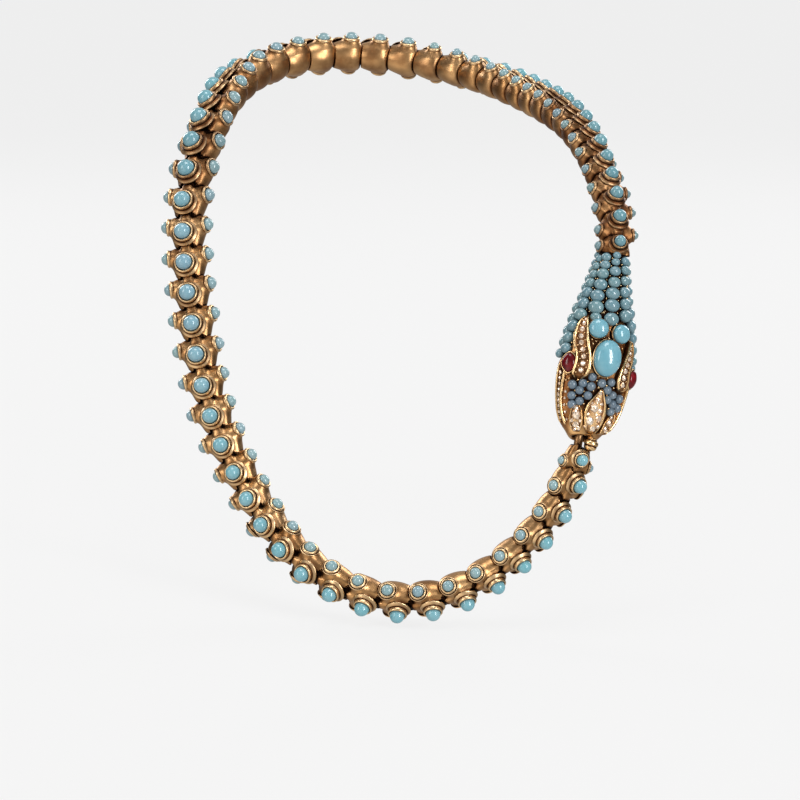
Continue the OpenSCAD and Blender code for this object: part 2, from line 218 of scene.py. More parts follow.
def surface_nets(f, lo, hi, cell):
    """A closed quad mesh of the surface where f is nought."""
    n = [int(math.ceil((h - l) / cell)) + 1 for l, h in zip(lo, hi)]
    ax = [l + cell * np.arange(m) for l, m in zip(lo, n)]
    P = np.stack(np.meshgrid(*ax, indexing="ij"), -1)
    v = f(P.reshape(-1, 3)).reshape(n)
    c = [m - 1 for m in n]
    cut = lambda o: tuple(slice(o[i], o[i] + c[i]) for i in range(3))
    count, acc = np.zeros(c), np.zeros(c + [3])
    for a, b in EDGES:
        va, vb = v[cut(a)], v[cut(b)]
        x = (va < 0) != (vb < 0)
        t = np.where(x, va / np.where(x, va - vb, 1), 0)[..., None]
        acc += np.where(x[..., None], P[cut(a)] * (1 - t) + P[cut(b)] * t, 0)
        count += x
    live = count > 0
    idx = np.full(c, -1); idx[live] = np.arange(live.sum())
    verts = acc[live] / count[live][:, None]
    faces = []
    for a in range(3):
        u, w = (a + 1) % 3, (a + 2) % 3
        low, high = [slice(1, -1)] * 3, [slice(1, -1)] * 3
        low[a], high[a] = slice(0, -1), slice(1, None)
        A, B = v[tuple(low)] < 0, v[tuple(high)] < 0
        for here, flip in ((A & ~B, False), (~A & B, True)):
            ijk = np.argwhere(here)
            ijk[:, u] += 1; ijk[:, w] += 1
            quad = []
            for du, dw in ((-1, -1), (0, -1), (0, 0), (-1, 0)):
                q = ijk.copy(); q[:, u] += du; q[:, w] += dw
                quad.append(idx[q[:, 0], q[:, 1], q[:, 2]])
            quad = np.stack(quad[::-1] if flip else quad, 1)
            faces.append(quad)
    faces = np.concatenate(faces)
    for _ in range(4):
        g = gradient(f, verts)
        step = (f(verts) / np.maximum((g * g).sum(1), 0.15))[:, None] * g
        size = np.linalg.norm(step, axis=1, keepdims=True)
        verts = verts - step * np.minimum(1, 0.3 * cell / np.maximum(size, 1e-9))
    return verts, faces


# ------------------------------------------------------------------ a link
def rounded(rows, spread, lo, hi, step=0.05):
    x = np.arange(lo, hi + step, step)
    y = np.interp(x, [r[0] for r in rows], [r[1] for r in rows])
    m = int(3 * spread / step)
    kern = np.exp(-0.5 * (np.arange(-m, m + 1) * step / spread) ** 2)
    y = np.convolve(np.pad(y, m, mode="edge"), kern / kern.sum(), mode="valid")
    return lambda q: np.interp(q, x, y)


BODY_R = rounded([[-4.2, 2.2], [-3.75, 2.5], [-3.3, 2.95], [-2.8, 3.3], [-2.2, 3.55], [-1.3, 3.74], [-0.3, 3.78], [0.7, 3.7],
                  [1.6, 3.54], [2.4, 3.3], [3.1, 3.05], [4.0, 2.92], [4.9, 2.84]], 0.3, -5, 5)
TAIL_END = rounded([[0, 2.5], [30, 2.6], [37, 3.4], [44, 4.25], [54, 4.25], [66, 3.8], [80, 3.3], [120, 3.15], [180, 3.15]], 2.2, 0, 180, 0.5)
HEAD_END = rounded([[0, -3.8], [20, -3.75], [32, -3.0], [42, -2.6], [54, -2.65], [62, -3.1], [80, -3.25], [120, -3.15], [180, -3.15]], 3.0, 0, 180, 0.5)


def studs(os, ss, sides, side_at):
    yield 0.0, OUTER_AT, os
    for s in sides:
        yield s * SIDE_ANGLE, side_at, ss


def link_field(p, os, ss, sides=(-1, 1), side_at=SIDE_AT, hollow=True, cuts=None):
    x, y, z = p[:, 0], p[:, 1], p[:, 2]
    rho = np.hypot(x, y)
    at = np.abs(np.degrees(np.arctan2(y, x)))
    front = 1 / (1 + np.exp((at - 56) / 2.6))
    knob = 1 / (1 + np.exp((at - 25) / 2.6))
    dip = np.interp(z, [-3.4, -2.6, -1.6, -0.7, 0.2], [0.8, 1.0, 1.05, 0.75, 0.2]) * front
    dip -= np.interp(z, [-3.8, -3.2, -2.2, -1.4, -0.8], [0.75, 0.6, 0.42, 0.2, 0.0]) * knob
    dip += np.interp(z, [-0.6, 0.6, 2.2], [0.0, 0.10, 0.12]) * np.exp(-((at - 46) / 20.0) ** 2)
    d = rho - (BODY_R(z) - dip)
    d = smax(d, (HEAD_END(at) - z) * 0.85, 0.75)
    d = smax(d, (z - TAIL_END(at)) * 0.7, 0.26)
    # the pedestals of the studs, flared into the body
    q = np.hypot(y, z - OUTER_AT)
    cup = smax(q - (os + 0.5 + 0.42 * np.clip((3.3 - x) / 1.0, 0, 1) ** 2), x - 3.35, 0.2)
    cup = smax(cup, 2.72 - x, 0.25)
    d = smin(d, cup, 0.55)
    for s in sides:
        a = math.radians(s * SIDE_ANGLE)
        h = x * math.cos(a) + y * math.sin(a)
        u = s * x * math.sin(a) - s * y * math.cos(a)
        q = np.hypot(u, z - side_at)
        flare = 0.95 * (1 - 0.85 * np.clip((u - 0.7 * (z - side_at)) / 2.2, 0, 1))
        lobe = smax(q - (ss + 0.42 + flare * np.clip((4.3 - h) / 1.6, 0, 1) ** 1.4), h - 4.28, 0.2)
        lobe = np.maximum(lobe, 1.0 - h)
        d = smin(d, lobe, 0.95)
    neck = np.maximum(rho - 1.9, np.abs(z + 3.2) - 1.15)
    neck = smin(neck, np.hypot(rho - 1.75, z + 3.72) - 0.42, 0.2)
    d = smin(d, neck, 0.12)
    if hollow:
        bore = np.maximum(rho - np.interp(z, [0.4, 2.6, 4.1], [2.25, 2.32, 2.42]), 0.5 - z)
        d = smax(d, -bore, 0.1)
    if cuts is not None:
        d = smax(d, cuts(p), 0.1)
    return d


def scene_field(p, os, ss, sides, side_at):
    """The link with its neighbours and collets, for the shade in its recesses."""
    d = link_field(p, os, ss, sides, side_at)
    for s in (-7.05, 7.05):
        d = np.minimum(d, link_field(p - np.array([0, 0, s]), os, ss, sides, side_at))
    for shift in (-7.05, 0, 7.05):
        for ang, at, r in studs(os, ss, sides, side_at):
            a = math.radians(ang)
            h = p[:, 0] * math.cos(a) + p[:, 1] * math.sin(a)
            q = np.hypot(-p[:, 0] * math.sin(a) + p[:, 1] * math.cos(a), p[:, 2] - at - shift)
            if ang == 0:
                d = np.minimum(d, np.maximum(q - r - 0.7, np.abs(h - 3.25) - 0.35))
            d = np.minimum(d, np.maximum(q - r - 0.4, np.abs(h - (3.9 if ang == 0 else 4.5)) - 0.4))
    return d


def occlusion(f, v, n):
    occ = np.zeros(len(v))
    for i, h in enumerate((0.18, 0.4, 0.75, 1.25)):
        occ += np.clip(h - f(v + n * h), 0, h) / h * (0.36, 0.28, 0.2, 0.16)[i]
    return occ


MASTERS = {}


def master(os, ss, sides=(-1, 1), side_at=SIDE_AT, hollow=True, cuts=None, key=None):
    key = key or (round(os, 1), round(ss, 1), sides, side_at, hollow)
    if key not in MASTERS:
        f = lambda p: link_field(p, os, ss, sides, side_at, hollow, cuts)
        v, q = surface_nets(f, (-4.3, -5.0, -4.75), (4.1, 5.0, 5.15), 0.258)
        n = gradient(f, v)
        n /= np.maximum(np.linalg.norm(n, axis=1, keepdims=True), 1e-9)
        # Painted shade: the occlusion values, with a near-black floor inside the bore and the neck.
        g = occlusion(lambda p: scene_field(p, os, ss, sides, side_at), v + n * 0.02, n)
        inside = (np.hypot(v[:, 0], v[:, 1]) < 2.6) & (v[:, 2] > 0.3)
        inside |= (np.hypot(v[:, 0], v[:, 1]) < 2.2) & (v[:, 2] < -2.85)
        g = np.where(inside, np.maximum(g, 0.92), g)
        MASTERS[key] = (v, q, g)
    return MASTERS[key]


# The third column of the collet profiles is darkness: painted shade, with patina, under the flange, in the groove and
# at the stone's seat; the outer faces stay light.
def outer_collet(r):
    return [(0, 2.7, 1), (r + 0.70, 2.7, 0.95), (r + 1.04, 2.76, 0.7), (r + 1.20, 2.88, 0.15), (r + 1.22, 3.02, 0.0), (r + 1.13, 3.15, 0.0), (r + 1.02, 3.25, 0.05),
            (r + 0.90, 3.36, 0.12), (r + 0.80, 3.46, 0.12), (r + 0.70, 3.56, 0.25), (r + 0.60, 3.66, 0.65), (r + 0.55, 3.76, 0.5), (r + 0.54, 3.88, 0.1),
            (r + 0.56, 4.04, 0.0), (r + 0.56, 4.24, 0.0), (r + 0.52, 4.42, 0.0), (r + 0.42, 4.54, 0.0), (r + 0.26, 4.57, 0.0),
            (r + 0.13, 4.48, 0.15), (r + 0.05, 4.30, 0.8), (r + 0.03, 4.0, 1), (0, 3.95, 1)]


def side_collet(r, grooved):
    lip = [(0, 3.9, 1), (r + 0.62, 3.9, 0.9), (r + 0.86, 4.02, 0.3), (r + 0.94, 4.16, 0.05), (r + 0.92, 4.28, 0.0), (r + 0.82, 4.34, 0.1), (r + 0.68, 4.32, 0.85)]
    plain = [(0, 3.8, 1), (r + 0.50, 3.8, 0.7), (r + 0.52, 4.0, 0.3), (r + 0.54, 4.2, 0.1), (r + 0.55, 4.3, 0.0), (r + 0.56, 4.36, 0.0), (r + 0.56, 4.38, 0.0)]
    return (lip if grooved else plain) + [
            (r + 0.60, 4.40, 0.6 if grooved else 0.0), (r + 0.58, 4.52, 0.0), (r + 0.53, 4.66, 0.0), (r + 0.41, 4.77, 0.0), (r + 0.24, 4.80, 0.0),
            (r + 0.12, 4.72, 0.15), (r + 0.04, 4.52, 0.8), (r + 0.02, 4.3, 1), (0, 4.25, 1)]


def stud_place(v, angle, at):
    """From stud axis Z to the link's own frame."""
    a = math.radians(angle)
    h, s, t = v[:, 2], v[:, 1], -v[:, 0]
    return np.stack([h * math.cos(a) - s * math.sin(a), h * math.sin(a) + s * math.cos(a), t + at], 1)


def to_world(k, v):
    p, M = link_frame(k)
    return p + (v * size_of(k)) @ M.T


def stretched(k, v):
    """Small links are longer for their width, and each neck reaches the link before."""
    v = v.copy()
    if k:
        reach = 7.0 * (0.55 + 0.45 / size_of(k)) / 7.0
        end = -3.1 - neck_of(k)
        low = v[:, 2] < -3.4
        v[low, 2] = -3.4 * reach + (v[low, 2] + 3.4) * (-end - 3.4 * reach) / 0.95
        v[~low, 2] *= reach
    return v


def add_link(bag, k, sides=(-1, 1), side_at=SIDE_AT, hollow=True, cuts=None, key=None):
    os, ss = column(GEMS, k, 1), column(GEMS, k, 2)
    v, q, g = master(os, ss, sides, side_at, hollow, cuts, key)
    v = stretched(k, v)
    tone = rng.uniform(0.0, 0.25)
    # Painted shade: the links on the stretches in shadow (k 0 to 10 and 24 to 33) and their collets are darkened more.
    strand_shade = float(np.interp(k, [0, 3, 9, 12, 20, 24, 29, 33, 37, 55], [0.54, 0.50, 0.46, 0.18, 0.12, 0.33, 0.37, 0.14, 0.04, 0.03]))
    g = g + strand_shade * (0.5 + 1.2 * g)
    bag.add(to_world(k, v), q, g, tone)
    for ang, at, r in studs(os, ss, sides, side_at):
        cv, cf, cg = lathe(outer_collet(r) if ang == 0 else side_collet(r, k > 41), 30 if ang == 0 else 26)
        cv[:, :2] *= 1 + 0.010 * np.sin(np.arctan2(cv[:, 1], cv[:, 0]) * 3 + rng.uniform(0, 6))[:, None]
        # Collets: tone 1.0 gives them the paler gold, a painted highlight; their profile values and the strand's
        # darkening add painted shade.
        bag.add(to_world(k, stud_place(cv, ang, at)), cf, np.array(cg) + strand_shade * 0.5, 1.0)


# ------------------------------------------------------------------ materials
def nodes_of(name):
    m = bpy.data.materials.new(name)
    m.use_nodes = True
    nt = m.node_tree
    b = nt.nodes["Principled BSDF"]
    return m, nt, b


def new(nt, kind, **values):
    n = nt.nodes.new(kind)
    for k, v in values.items():
        if k in n.inputs:
            n.inputs[k].default_value = v
        else:
            setattr(n, k, v)
    return n


def ramp(nt, source, stops):
    r = nt.nodes.new("ShaderNodeValToRGB")
    e = r.color_ramp.elements
    while len(e) < len(stops):
        e.new(0.5)
    for el, (p, c) in zip(e, stops):
        el.position = p
        el.color = tuple(c) + (1,) if len(c) == 3 else c
    nt.links.new(source, r.inputs[0])
    return r.outputs[0]


def noise(nt, scale, detail=3.0, rough=0.55):
    co = nt.nodes.new("ShaderNodeTexCoord")
    n = new(nt, "ShaderNodeTexNoise", Scale=scale, Detail=detail, Roughness=rough)
    nt.links.new(co.outputs["Object"], n.inputs["Vector"])
    return n.outputs[0]


def math_node(nt, op, a, b, clamp=False):
    n = nt.nodes.new("ShaderNodeMath")
    n.operation = op
    n.use_clamp = clamp
    for i, v in enumerate((a, b)):
        if isinstance(v, (int, float)):
            n.inputs[i].default_value = v
        else:
            nt.links.new(v, n.inputs[i])
    return n.outputs[0]


def attribute(nt, name):
    n = nt.nodes.new("ShaderNodeAttribute")
    n.attribute_name = name
    return n.outputs["Fac"]


def mix(nt, fac, a, b):
    n = nt.nodes.new("ShaderNodeMix")
    n.data_type = "RGBA"
    nt.links.new(fac, n.inputs[0])
    for i, v in ((6, a), (7, b)):
        if isinstance(v, tuple):
            n.inputs[i].default_value = v + (1,)
        else:
            nt.links.new(v, n.inputs[i])
    return n.outputs[2]


def gold(name, bright=(0.78, 0.52, 0.27), deep=(0.54, 0.31, 0.135), brown=(0.30, 0.135, 0.052), dark=(0.022, 0.009, 0.005), rough=0.29, shade_and_patina=1.0, bump=0.06, pale=0.0):
    m, nt, b = nodes_of(name)
    b.inputs["Metallic"].default_value = 1.0
    wear = noise(nt, 230, 4.0)
    fine = noise(nt, 1400, 3.0)
    g = attribute(nt, "shade_and_patina")
    # The level sums the vertex values (painted shade in recesses, with patina) and noise for patina that varies at
    # random.
    shade_and_patina_level = math_node(nt, "ADD", math_node(nt, "MULTIPLY", g, 1.3 * shade_and_patina), math_node(nt, "MULTIPLY", math_node(nt, "SUBTRACT", wear, 0.5), 0.7))
    body = mix(nt, ramp(nt, wear, [(0.36, (0, 0, 0)), (0.64, (1, 1, 1))]), bright, deep)
    # Tone pales the gold: a little at random on the link bodies, and fully on the collets, where the paler gold is a
    # painted highlight.
    body = mix(nt, math_node(nt, "MULTIPLY", attribute(nt, "tone"), pale), body, (0.82, 0.61, 0.36))
    # With the level the gold turns brown, then near black: painted shade in the recesses, with patina in the brown.
    warm = mix(nt, ramp(nt, shade_and_patina_level, [(0.08, (0, 0, 0)), (0.46, (1, 1, 1))]), body, brown)
    full = mix(nt, ramp(nt, shade_and_patina_level, [(0.36, (0, 0, 0)), (0.85, (1, 1, 1))]), warm, dark)
    nt.links.new(full, b.inputs["Base Color"])
    r = math_node(nt, "ADD", math_node(nt, "MULTIPLY", shade_and_patina_level, 0.28, True), math_node(nt, "MULTIPLY", fine, 0.14))
    r = math_node(nt, "ADD", r, rough - 0.05, True)
    nt.links.new(r, b.inputs["Roughness"])
    bu = new(nt, "ShaderNodeBump", Strength=bump, Distance=0.0002)
    nt.links.new(math_node(nt, "ADD", math_node(nt, "MULTIPLY", wear, 0.7), math_node(nt, "MULTIPLY", fine, 0.3)), bu.inputs["Height"])
    nt.links.new(bu.outputs[0], b.inputs["Normal"])
    return m


def stone(name, cool, warm, pale, rough=0.13, veins=0.35):
    """Polished opaque stone: each one has its own shade, clouded within."""
    m, nt, b = nodes_of(name)
    t = attribute(nt, "tone")
    cloud = noise(nt, 420, 3.0)
    spots = noise(nt, 1500, 4.0, 0.7)
    c = mix(nt, t, cool, warm)
    c = mix(nt, math_node(nt, "MULTIPLY", ramp(nt, cloud, [(0.42, (0, 0, 0)), (0.68, (1, 1, 1))]), veins), c, pale)
    c = mix(nt, math_node(nt, "MULTIPLY", ramp(nt, spots, [(0.6, (0, 0, 0)), (0.74, (1, 1, 1))]), 0.35), c, tuple(v * 0.45 for v in cool))
    # Darkened by the vertex values: painted shade at the foot of each stone or bead and on the stretches in shadow.
    c = mix(nt, attribute(nt, "shade_and_patina"), c, tuple(v * 0.10 for v in cool))
    nt.links.new(c, b.inputs["Base Color"])
    b.inputs["Specular IOR Level"].default_value = 0.5
    b.inputs["Coat Weight"].default_value = 0.25
    b.inputs["Coat Roughness"].default_value = 0.05
    r = math_node(nt, "ADD", math_node(nt, "MULTIPLY", spots, 0.16), rough - 0.05)
    nt.links.new(r, b.inputs["Roughness"])
    bu = new(nt, "ShaderNodeBump", Strength=0.06, Distance=0.0002)
    nt.links.new(cloud, bu.inputs["Height"])
    nt.links.new(bu.outputs[0], b.inputs["Normal"])
    return m


GOLD = gold("link_gold", bright=(0.49, 0.278, 0.120), deep=(0.31, 0.155, 0.060), brown=(0.160, 0.062, 0.022), rough=0.33, pale=0.68)
HEAD_GOLD = gold("head_gold", bright=(0.66, 0.41, 0.19), deep=(0.42, 0.22, 0.09), brown=(0.26, 0.11, 0.04), rough=0.27, bump=0.12)
RIM_GOLD = gold("rim_gold", bright=(0.92, 0.68, 0.38), deep=(0.80, 0.54, 0.27), rough=0.24, shade_and_patina=0.9)
LARGE = stone("large_turquoise", (0.175, 0.285, 0.360), (0.125, 0.325, 0.370), (0.25, 0.40, 0.44))
SMALL = stone("small_turquoise", (0.175, 0.275, 0.320), (0.180, 0.295, 0.300), (0.29, 0.385, 0.405))
BEADS = stone("head_beads", (0.100, 0.190, 0.230), (0.112, 0.205, 0.218), (0.185, 0.27, 0.29), rough=0.13)
SNOUT = stone("snout_beads", (0.085, 0.125, 0.165), (0.105, 0.145, 0.18), (0.17, 0.21, 0.25), rough=0.2)
CROWN = stone("crown_turquoise", (0.105, 0.275, 0.350), (0.125, 0.295, 0.350), (0.20, 0.37, 0.41), veins=0.3)


# The third column darkens the dome's foot, where it sits in its collet: painted shade.
def dome_profile(r, base, tip, n=2.15, rows=9):
    p = [(0, base, 1), (r, base, 1), (r * 1.0, base + 0.22 * (tip - base), 0.55)]
    for i in range(1, rows):
        a = i / rows * math.pi / 2
        c, s = math.cos(a), math.sin(a)
        k = (c ** n + s ** n) ** (-1 / n)
        h = base + 0.22 * (tip - base) + 0.78 * (tip - base) * s * k
        p.append((r * c * k, h, max(0, 0.3 - i * 0.15)))
    p.append((0, tip, 0))
    return p


def add_dome(bag, k, r, base, tip, ang, at, seg):
    v, f, g = lathe(dome_profile(r, base, base + (tip - base) * rng.uniform(0.97, 1.03)), seg)
    v[:, :2] *= 1 + 0.02 * np.sin(np.arctan2(v[:, 1], v[:, 0]) * 2 + rng.uniform(0, 6))[:, None] * np.clip((v[:, 2:3] - base - 0.5), 0, 1)
    lean = rng.normal(0, 0.02, 2)
    v[:, :2] += lean * (v[:, 2:3] - base)
    grey = float(np.interp(k, [0, 24, 29, 31, 33, 36, 39, 55], [0.8, 0.85, 0.85, 0.65, 0.22, 0.22, 0.8, 0.85])) if ang == 0 else 0.5
    # Painted shade: the stones on the stretches in shadow (k 0 to 10, and about k 29) are darkened.
    g = np.maximum(g, float(np.interp(k, [0, 8, 12, 26, 29, 32], [0.34, 0.30, 0.05, 0.05, 0.25, 0.02])))
    bag.add(to_world(k, stud_place(v, ang, at)), f, g, grey + rng.uniform(-0.15, 0.15) * (1 if ang == 0 else 3))


# ------------------------------------------------------------------ the chain
HEAD_FROM, HEAD_TO = np.array([40, -101.5, -36]), np.array([32.5, -108, -73.0])
HZ = unit(HEAD_TO - HEAD_FROM)
HEAD_O, HEAD_M = placed(HEAD_FROM, outward((HEAD_FROM + HEAD_TO) / 2, HZ, 32), HZ)


def head_world(v):
    return HEAD_O + np.asarray(v, float) @ HEAD_M.T


def rod(a, b, r, seg=16):
    d = np.linalg.norm(b - a)
    v, f, g = lathe([(0, 0, 0), (r * 0.8, 0, 0), (r, r * 0.2, 0), (r, d - r * 0.6, 0), (r * 0.8, d - r * 0.2, 0), (r * 0.4, d, 0), (0, d, 0)], seg)
    z = unit(b - a)
    x = unit(np.cross(z, [1, 0, 0.3]))
    return a + v @ np.stack([x, np.cross(z, x), z], 1).T, f


for k in list(range(1, 10)) + list(range(24, 55)):
    bag = Bag()
    add_link(bag, k)
    make("gold_link_%02d" % k, bag, GOLD, ["link_%02d" % k], sharp=50)
for name, ks in (("a", range(10, 15)), ("b", range(15, 20)), ("c", range(20, 24))):
    bag = Bag()
    for k in ks:
        add_link(bag, k)
    make("gold_back_links_" + name, bag, GOLD, ["back_links_" + name], sharp=50)

p0, M0 = link_frame(0)


def collar_cut(p):
    w = p0 + (p * size_of(0)) @ M0.T
    return ((w - HEAD_O) @ HEAD_M[:, 2] + 0.55) / size_of(0)


bag = Bag()
add_link(bag, 0, (-1,), COLLAR_SIDE_AT, True, collar_cut, "collar")
make("gold_neck_collar", bag, GOLD, ["neck_collar"], sharp=50)

BALL_AT = np.array([2.3, -1.1, 38.6])


def tip_cut(p):
    """Room for the ball and its way in."""
    w = (to_world(LAST, stretched(LAST, p)) - HEAD_O) @ HEAD_M - BALL_AT
    way = unit(np.array([-1.0, 0.35, 0.0]))
    near = np.clip(w @ way, 0, 0.65)
    return (1.80 - np.linalg.norm(w - near[:, None] * way, axis=1)) / size_of(LAST)


bag = Bag()
add_link(bag, LAST, hollow=False, cuts=tip_cut, key="tip")
v, f = rod(on_loop(STATIONS[LAST]), head_world([-0.2, 0.9, 34]), 0.9)
bag.add(v, f, 0.22)
make("gold_tail_tip", bag, GOLD, ["tail_tip"], sharp=50)

bag = Bag()
for k in range(LAST + 1):
    add_dome(bag, k, column(GEMS, k, 1), 3.97, 6.4, 0, OUTER_AT, 26)
make("outer_domes", bag, LARGE, ["outer_stones"], sharp=60)
for name, ks in (("right", range(0, 17)), ("left", range(17, 36)), ("front", range(36, LAST + 1))):
    bag = Bag()
    for k in ks:
        for s in ((-1,) if k == 0 else (-1, 1)):
            add_dome(bag, k, column(GEMS, k, 2), 4.30, float(np.interp(k, [27, 30, 37, 41], [5.85, 6.05, 6.05, 5.85])), s * SIDE_ANGLE, COLLAR_SIDE_AT if k == 0 else SIDE_AT, 22)
    make("side_domes_" + name, bag, SMALL, ["side_stones_" + name], sharp=60)

# ------------------------------------------------------------------ the head (head frame: X crown, Y the wearer's side, Z to the mouth)
HEAD = np.array([[-0.5, 2.7, 2.7, 2.6], [2, 3.1, 3.0, 2.8], [5, 3.7, 3.5, 3.0], [9, 4.5, 4.0, 3.1], [12, 5.3, 4.4, 3.2], [15, 6.1, 4.8, 3.3],
                 [19, 6.9, 5.2, 3.4], [22, 7.6, 5.2, 3.5], [24.5, 7.8, 5.0, 3.5], [27, 7.5, 4.6, 3.4], [30, 7.0, 4.0, 3.1], [33, 6.3, 3.4, 2.8],
                 [35.5, 5.2, 2.9, 2.5], [36.7, 4.1, 2.5, 2.3], [37.6, 2.9, 2.1, 2.1], [39, 2.9, 2.1, 2.1]])
HEAD_C = [rounded(HEAD[:, (0, i)].tolist(), 0.7, -2, 41) for i in (1, 2, 3)]


def skin(z, a, lift=0.0):
    """A place on the head: z along it, a in degrees round it from the crown, lift off the surface."""
    z, a, lift = np.broadcast_arrays(np.asarray(z, float), np.radians(np.asarray(a, float)), np.asarray(lift, float))
    w, ht, hb = (c(z) for c in HEAD_C)
    h = np.where(np.cos(a) >= 0, ht, hb)
    nx, ny = np.cos(a) / h, np.sin(a) / w
    m = np.hypot(nx, ny)
    return np.stack([h * np.cos(a) + lift * nx / m, w * np.sin(a) + lift * ny / m, z], -1)


def laid(v, z, a, lift=0.0, spin=0.0):
    """Points given as (across, along, up) set on the skin."""
    o = skin(z, a, lift)
    t = skin(z + 0.2, a, lift) - skin(z - 0.2, a, lift)
    c = skin(z, a + 1, lift) - skin(z, a - 1, lift)
    t = unit(t)
    n = unit(np.cross(c, t))
    if n @ (skin(z, a, 1.0) - skin(z, a, 0)) < 0:
        n = -n
    c = np.cross(t, n)
    s = math.radians(spin)
    v = np.asarray(v, float)
    x, y = v[:, 0] * math.cos(s) - v[:, 1] * math.sin(s), v[:, 0] * math.sin(s) + v[:, 1] * math.cos(s)
    return o + x[:, None] * c + y[:, None] * t + v[:, 2:3] * n


def smooth_line(rows, n):
    """n places along a line through (z, angle) rows, rounded at the corners."""
    rows = np.array(rows, float)
    d = np.hypot(np.diff(rows[:, 0]), np.diff(rows[:, 1]) * 0.1)
    s = np.concatenate([[0], np.cumsum(d)]) / d.sum()
    t = np.linspace(0, 1, 8 * n)
    p = np.stack([np.interp(t, s, rows[:, i]) for i in (0, 1)], 1)
    w = max(2, n // 3)
    kern = np.hanning(2 * w + 1)
    kern /= kern.sum()
    q = p.copy()
    for i in (0, 1):
        ext = np.concatenate([2 * p[0, i] - p[w:0:-1, i], p[:, i], 2 * p[-1, i] - p[-2:-w - 2:-1, i]])
        q[:, i] = np.convolve(ext, kern, mode="valid")
    d = np.concatenate([[0], np.cumsum(np.hypot(np.diff(q[:, 0]), np.diff(q[:, 1]) * 0.1))])
    t = np.linspace(0, d[-1], n)
    return np.stack([np.interp(t, d, q[:, i]) for i in (0, 1)], 1)


def strip(bag, left, right, profile, n=44, ends=(0.15, 0.15), scale=None):
    """A raised band between two lines on the head; profile rows are (across 0 to 1, lift, painted shade and patina)."""
    L, R = smooth_line(left, n), smooth_line(right, n)
    v, g, f = [], [], []
    m = len(profile)
    for i in range(n):
        t = i / (n - 1)
        k = min(1.0, ends[0] + t / 0.08, ends[1] + (1 - t) / 0.08)
        for u, h, d in profile:
            z = L[i, 0] * (1 - u) + R[i, 0] * u
            a = L[i, 1] * (1 - u) + R[i, 1] * u
            v.append(skin(z, a, -0.1 + (h + 0.1) * k))
            g.append(d)
    flip = (left[len(left) // 2][1] < right[len(right) // 2][1])
    for i in range(n - 1):
        for j in range(m):
            q = (i * m + j, i * m + (j + 1) % m, (i + 1) * m + (j + 1) % m, (i + 1) * m + j)
            f.append(q[::-1] if flip else q)
    a, b = tuple(range(m)), tuple((n - 1) * m + j for j in range(m))
    f.append(a if flip else a[::-1])
    f.append(b[::-1] if flip else b)
    bag.add(head_world(np.array(v)), f, np.array(g), 0.5)


def tube(bag, line, r, shade_and_patina=0.0, seg=8, n=40, squash=1.0):
    """A round wire along (z, angle, lift) rows on the head."""
    line = np.array(line, float)
    q = smooth_line(line[:, :2], n)
    lift = np.interp(np.linspace(0, 1, n), np.linspace(0, 1, len(line)), line[:, 2])
    c = skin(q[:, 0], q[:, 1], lift)
    up = skin(q[:, 0], q[:, 1], lift + 1) - c
    v, f = [], []
    for i in range(n):
        t = unit(c[min(i + 1, n - 1)] - c[max(i - 1, 0)])
        s = unit(np.cross(t, up[i]))
        u = np.cross(s, t)
        k = min(1.0, (0.25 + i * 0.4), (0.25 + (n - 1 - i) * 0.4))
        for j in range(seg):
            a = 2 * math.pi * j / seg
            v.append(c[i] + (s * math.cos(a) + u * math.sin(a) * squash) * r * k)
    for i in range(n - 1):
        for j in range(seg):
            f.append((i * seg + j, (i + 1) * seg + j, (i + 1) * seg + (j + 1) % seg, i * seg + (j + 1) % seg))
    f.append(tuple(range(seg)))
    f.append(tuple((n - 1) * seg + j for j in range(seg))[::-1])
    bag.add(head_world(np.array(v)), f, shade_and_patina, 0.5)


# The third column darkens the lower half of each ball, where it meets the surface below: painted shade.
def ball(r, seg=14, rows=8, flat=1.0):
    return lathe([(0, -r * flat, 1)] + [(r * math.sin(math.pi * i / rows), -r * flat * math.cos(math.pi * i / rows),
                                         float(np.clip(0.6 - 1.6 * i / rows, 0, 1))) for i in range(1, rows)] + [(0, r * flat, 0)], seg)


def add_ball(bag, z, a, r, lift, seg=14, rows=8, flat=1.0, along=1.0, shade_and_patina=None):
    v, f, g = ball(r, seg, rows, flat)
    v[:, 1] *= along
    bag.add(head_world(laid(v, z, a, lift)), f, g if shade_and_patina is None else shade_and_patina, rng.uniform(0, 1))


def add_rose(bag, z, a, r, lift, along=1.0, spin=None):
    """A rose-cut stone with flat facets."""
    spin = rng.uniform(0, 60) if spin is None else spin
    v, f = [(0, 0, -0.3)], []
    for rr, h, off in ((r, -0.05, 0), (r, 0.04, 0), (r * 0.62, r * 0.5, 0.5)):
        for j in range(7):
            t = 2 * math.pi * (j + off) / 7
            v.append((rr * math.cos(t), rr * math.sin(t) * along, h))
    v.append((0, 0, r * 0.72))
    for j in range(7):
        m = (j + 1) % 7
        f.append((0, 1 + m, 1 + j))
        f.append((1 + j, 1 + m, 8 + m, 8 + j))
        f.append((8 + j, 8 + m, 15 + j))
        f.append((15 + j, 8 + m, 15 + m))
        f.append((15 + j, 15 + m, 22))
    bag.add(head_world(laid(v, z, a, lift, spin)), f, 0.0, rng.uniform(0, 1))


